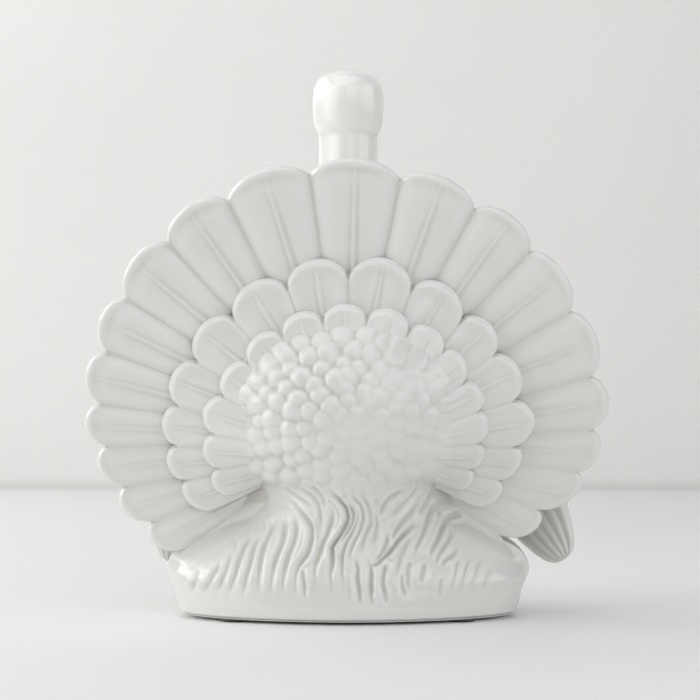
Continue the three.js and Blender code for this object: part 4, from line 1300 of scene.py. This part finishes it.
def feather_rows(along, across, half_chord):
    """Which feather each point of a wing lies on: its side, half width, way in from the rim and lift."""
    side, half, from_rim, lift = (np.zeros(np.broadcast(along, across).shape) for _ in range(4))
    length = along.max()
    for tip, count, shift in WING_ROWS:
        own_side = 2 * np.mod((across + 1) / 2 * count + shift, 1) - 1
        own_half = half_chord / count
        fall = WING_TIP_ROUND * own_half * own_side ** 2
        own_rim = tip * length - fall - WING_SWEEP * across ** 2 - along
        on_it = own_rim > 0
        side, half = np.where(on_it, own_side, side), np.where(on_it, own_half, half)
        from_rim = np.where(on_it, own_rim, from_rim)
        own_lift = WING_STEP * np.exp(-np.maximum(own_rim, 0) / WING_STEP_RUN) * (tip < 1)
        lift = np.where(on_it, own_lift, lift)
    return side, half, from_rim, lift


def wing(name, way, spread, node):
    knots = [body_point(np.array(share), np.radians(turn), offset) for share, turn, offset in (
        WING_ROOT, WING_MIDDLE, (*WING_TIP, spread))]
    share = (1 - np.cos(np.linspace(0, math.pi, WING_STATIONS))) / 2
    half, thick, look_side, look_front = smooth_rows(WING_SHARES, share).T
    rounded = (1 - np.abs(2 * share - 1) ** 3) ** (1 / 3)
    along = path_tangents(knots, share)
    outward = np.stack([look_side, -look_front, np.zeros_like(share)], -1)
    outward = unit(outward - along * np.sum(outward * along, 1, keepdims=True))
    chord = np.cross(outward, along)
    turn = full_turn(WING_SEGMENTS)[None, :, None]
    middle = path_points(knots, share)
    along_way = np.concatenate([[0], np.linalg.norm(np.diff(middle, axis=0), axis=1).cumsum()])[:, None]
    half_chord = (WING_HALF_CHORD * half * rounded)[:, None]
    half_thickness = WING_HALF_THICKNESS * thick * rounded
    side, feather_half, from_rim, lift = feather_rows(along_way, np.cos(turn[..., 0]), half_chord)
    ends = smoothstep(0, 0.06, rounded)[:, None]
    outer, inner = (smoothstep(0.05, 0.35, face * np.sin(turn[..., 0])) * ends for face in (1, -1))
    rings = (middle[:, None]
             + (chord * half_chord)[:, None] * np.cos(turn)
             + outward[:, None] * (half_thickness[:, None, None] * np.sin(turn) + (lift * outer)[..., None]))
    rings[..., 0] *= way
    points, faces = loft(rings)
    values = {"side": side, "half_width": feather_half, "from_rim": from_rim, "relief": outer + 0.5 * inner}
    padded = {key: np.concatenate([rows[:1], rows, rows[-1:]]) for key, rows in values.items()}
    piece = new_piece(name, points, faces, padded)
    feather_relief.put_on(piece, glaze, **WING_SIZES)
    soften(piece, 2)
    return finish_piece(piece, node)


# The plinth and its felt pads

PLINTH_COLUMNS = 220
PLINTH_ROWS = 26
PAD_SEGMENTS = 48
# Up a pad's edge: the share of its radius, and of its thickness
PAD_EDGE = ((0.93, 0), (0.985, 0.12), (1, 0.4), (1, 0.75), (0.97, 0.95), (0.9, 1))


def plinth():
    turn = full_turn(PLINTH_COLUMNS)
    heights = np.linspace(PLINTH_BOTTOM, PLINTH_TOP, PLINTH_ROWS)
    insets = MM + FOOT_WALL * smoothstep(FOOT_HEM - 0.5 * MM, FOOT_HEM + MM, heights)
    outside = [plinth_ring(turn, height, inset) for height, inset in zip(heights, insets)]
    inside = [plinth_ring(turn, height, PLINTH_FOOT_WIDTH) for height in (PLINTH_TOP, PLINTH_BOTTOM)]
    points = np.array([*outside, *inside, outside[0]])
    piece = new_piece("plinth_band", points, grid_faces(*points.shape[:2], closed=True))
    return finish_piece(piece, "plinth")


def felt_pad(node):
    low, high = (np.array(corner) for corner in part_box(node))
    centre, radius, thickness = (low + high) / 2, (high[0] - low[0]) / 2, high[2] - low[2]
    turn = full_turn(PAD_SEGMENTS)
    rings = [
        np.stack([centre[0] + radius * part * np.cos(turn), centre[1] + radius * part * np.sin(turn),
                  np.full_like(turn, low[2] + thickness * up)], -1)
        for part, up in PAD_EDGE]
    return finish_piece(new_piece("felt_" + node.removeprefix("foot_"), *loft(rings)), node,
                        slot="felt", material=felt)


body()
breast()
tail_fan()
covert_row("coverts_outer", MAJOR_ROW, 1, "rear_coverts_outer")
covert_row("coverts_inner", MINOR_ROW, 1, "rear_coverts_inner")
covert_row("coverts_front", FRONT_ROW, -1, "front_coverts")
neck_and_head()
# Each limb's root, length, curve in shares of it, radius and the radius's shares along it
small_limb("snood_roll", on_face(0, 0.94, 0.72), 30 * MM,
           [(0, 0.1, -0.02), (0.06, -0.14, 0.08), (0.22, -0.3, -0.06), (0.31, -0.32, -0.38), (0.31, -0.3, -0.8)],
           3.4 * MM, (0.9, 1.05, 0.9, 1.05, 0.3), 1, "snood", rings_of_skin=11, depth=0.16)
small_limb("wattle_fold", on_face(0, 0.72, 0.3), 34 * MM,
           [(0, 0.05, 0.1), (0, -0.1, -0.22), (0, -0.14, -0.58), (0, 0, -0.95)],
           8.5 * MM, (0.95, 1.05, 0.95, 0.25), 0.62, "wattle", folds=9, depth=0.22)
small_limb("beard_tuft", body_point(np.array(0.65), math.pi), 44 * MM,
           [(0, 0.06, 0.1), (0, -0.1, -0.2), (0, -0.13, -0.6), (0, -0.06, -1)],
           6 * MM, (0.8, 1.05, 0.9, 0.25), 1.15, "beard", folds=15, depth=0.25)
wing("wing_left_feathers", 1, 1 * MM, "wing_left")
wing("wing_right_feathers", -1, 22 * MM, "wing_right")
plinth()
for place in ("front_left", "front_right", "rear_left", "rear_right"):
    felt_pad("foot_pad_" + place)


# Table, wall, lamps and camera

CAMERA_PLACE = (-0.001, 1.43, 0.142)
LENS = 136
WALL_Y = -1.29
STAGE_SIDE = 4
STAGE_FRONT = 3
WALL_TOP = 3
# How dark the painted shade is at the corner where the table meets the wall
CORNER_SHADE = 0.88


def stage_piece(name, corners, colour, roughness, mottle, corner_axis, corner_at, corner_reach):
    """The table or the wall, with painted shade near the corner where they meet, and seen from its face only."""
    mesh = bpy.data.meshes.new(name)
    mesh.from_pydata(corners, [], [(0, 1, 2, 3)])
    piece = bpy.data.objects.new(name, mesh)
    bpy.context.scene.collection.objects.link(piece)
    material = new_material(name, Roughness=roughness)
    place = own_place(material)
    darker = tuple(part * (1 - mottle) for part in colour)
    shade = ramp(material, noise_at(material, place, 3.5, 5), [(0.35, darker), (0.65, colour)])
    parts = shader_node(material, "ShaderNodeSeparateXYZ", {"Vector": place})
    reach = shader_node(material, "ShaderNodeMapRange", {
        "Value": parts.outputs[corner_axis], "From Min": corner_at, "From Max": corner_at + corner_reach},
        interpolation_type="SMOOTHSTEP")
    painted_corner_shade = ramp(material, reach.outputs["Result"], [(0, (CORNER_SHADE,) * 3), (1, (1, 1, 1))])
    set_surface(material, Base_Color=multiplied(material, shade, painted_corner_shade))
    nodes = material.node_tree.nodes
    behind = shader_node(material, "ShaderNodeNewGeometry").outputs["Backfacing"]
    clear = shader_node(material, "ShaderNodeBsdfTransparent").outputs["BSDF"]
    either = shader_node(material, "ShaderNodeMixShader", {
        0: behind, 1: nodes["Principled BSDF"].outputs["BSDF"], 2: clear})
    plug(material.node_tree, either.outputs["Shader"], nodes["Material Output"].inputs["Surface"])
    mesh.materials.append(material)


def lamp(name, place, target, size, power, colour):
    light = bpy.data.lights.new(name, "AREA")
    light.shape = "RECTANGLE"
    light.size, light.size_y = size
    light.energy = power
    light.color = colour
    piece = bpy.data.objects.new(name, light)
    piece.location = place
    piece.rotation_euler = (Vector(target) - Vector(place)).to_track_quat("-Z", "Y").to_euler()
    bpy.context.scene.collection.objects.link(piece)


MIDDLE = (0, 0, 0.12)
DAYLIGHT = (1, 0.995, 0.98)
WHITE = (1, 1, 1)
# Each lamp's place, what it is aimed at, its size, power and colour
LAMPS = {
    "window": ((1.7, 0.75, 0.75), MIDDLE, (1.5, 1.3), 10.5, DAYLIGHT),
    "far_window": ((2.4, 0.3, 0.9), MIDDLE, (2.2, 1.8), 8, DAYLIGHT),
    "front_window": ((1.3, -0.6, 0.9), MIDDLE, (1.2, 1), 9, WHITE),
    "ceiling": ((0.2, 0.6, 1.9), (0, -0.2, 0), (2.4, 2.4), 21, WHITE),
    "camera_side_fill": ((-0.7, 1.7, 0.8), MIDDLE, (1.6, 1.2), 7, WHITE),
    "right_wall_fill": ((-1.9, 0.6, 0.8), MIDDLE, (1.6, 1.2), 9, WHITE),
}

left, right = -STAGE_SIDE, STAGE_SIDE
stage_piece("table", [(left, WALL_Y, 0), (right, WALL_Y, 0), (right, STAGE_FRONT, 0), (left, STAGE_FRONT, 0)],
            (0.87, 0.868, 0.86), 0.55, 0.01, "Y", WALL_Y, 0.1)
wall_corners = [(left, WALL_Y, 0), (left, WALL_Y, WALL_TOP), (right, WALL_Y, WALL_TOP), (right, WALL_Y, 0)]
stage_piece("plaster_wall", wall_corners, (0.885, 0.878, 0.865), 0.9, 0.035, "Z", 0, 0.012)
for name, settings in LAMPS.items():
    lamp(name, *settings)

# The room gives little light of its own, and shows the camera a pale grey past the wall
world = bpy.data.worlds.new("room")
world.use_nodes = True
seen = add_node(world.node_tree, "ShaderNodeLightPath").outputs["Is Camera Ray"]
brightness = add_node(world.node_tree, "ShaderNodeMapRange", {"Value": seen, "To Min": 0.04, "To Max": 0.72})
background = world.node_tree.nodes["Background"]
background.inputs["Color"].default_value = (1, 1, 1, 1)
plug(world.node_tree, brightness.outputs["Result"], background.inputs["Strength"])
bpy.context.scene.world = world

camera = bpy.data.objects.new("camera", bpy.data.cameras.new("camera"))
camera.data.lens = LENS
camera.data.clip_start = 0.05
camera.location = CAMERA_PLACE
camera.rotation_euler = (math.pi / 2, 0, math.pi)
bpy.context.scene.collection.objects.link(camera)
bpy.context.scene.camera = camera
bpy.context.scene.view_settings.view_transform = "Standard"
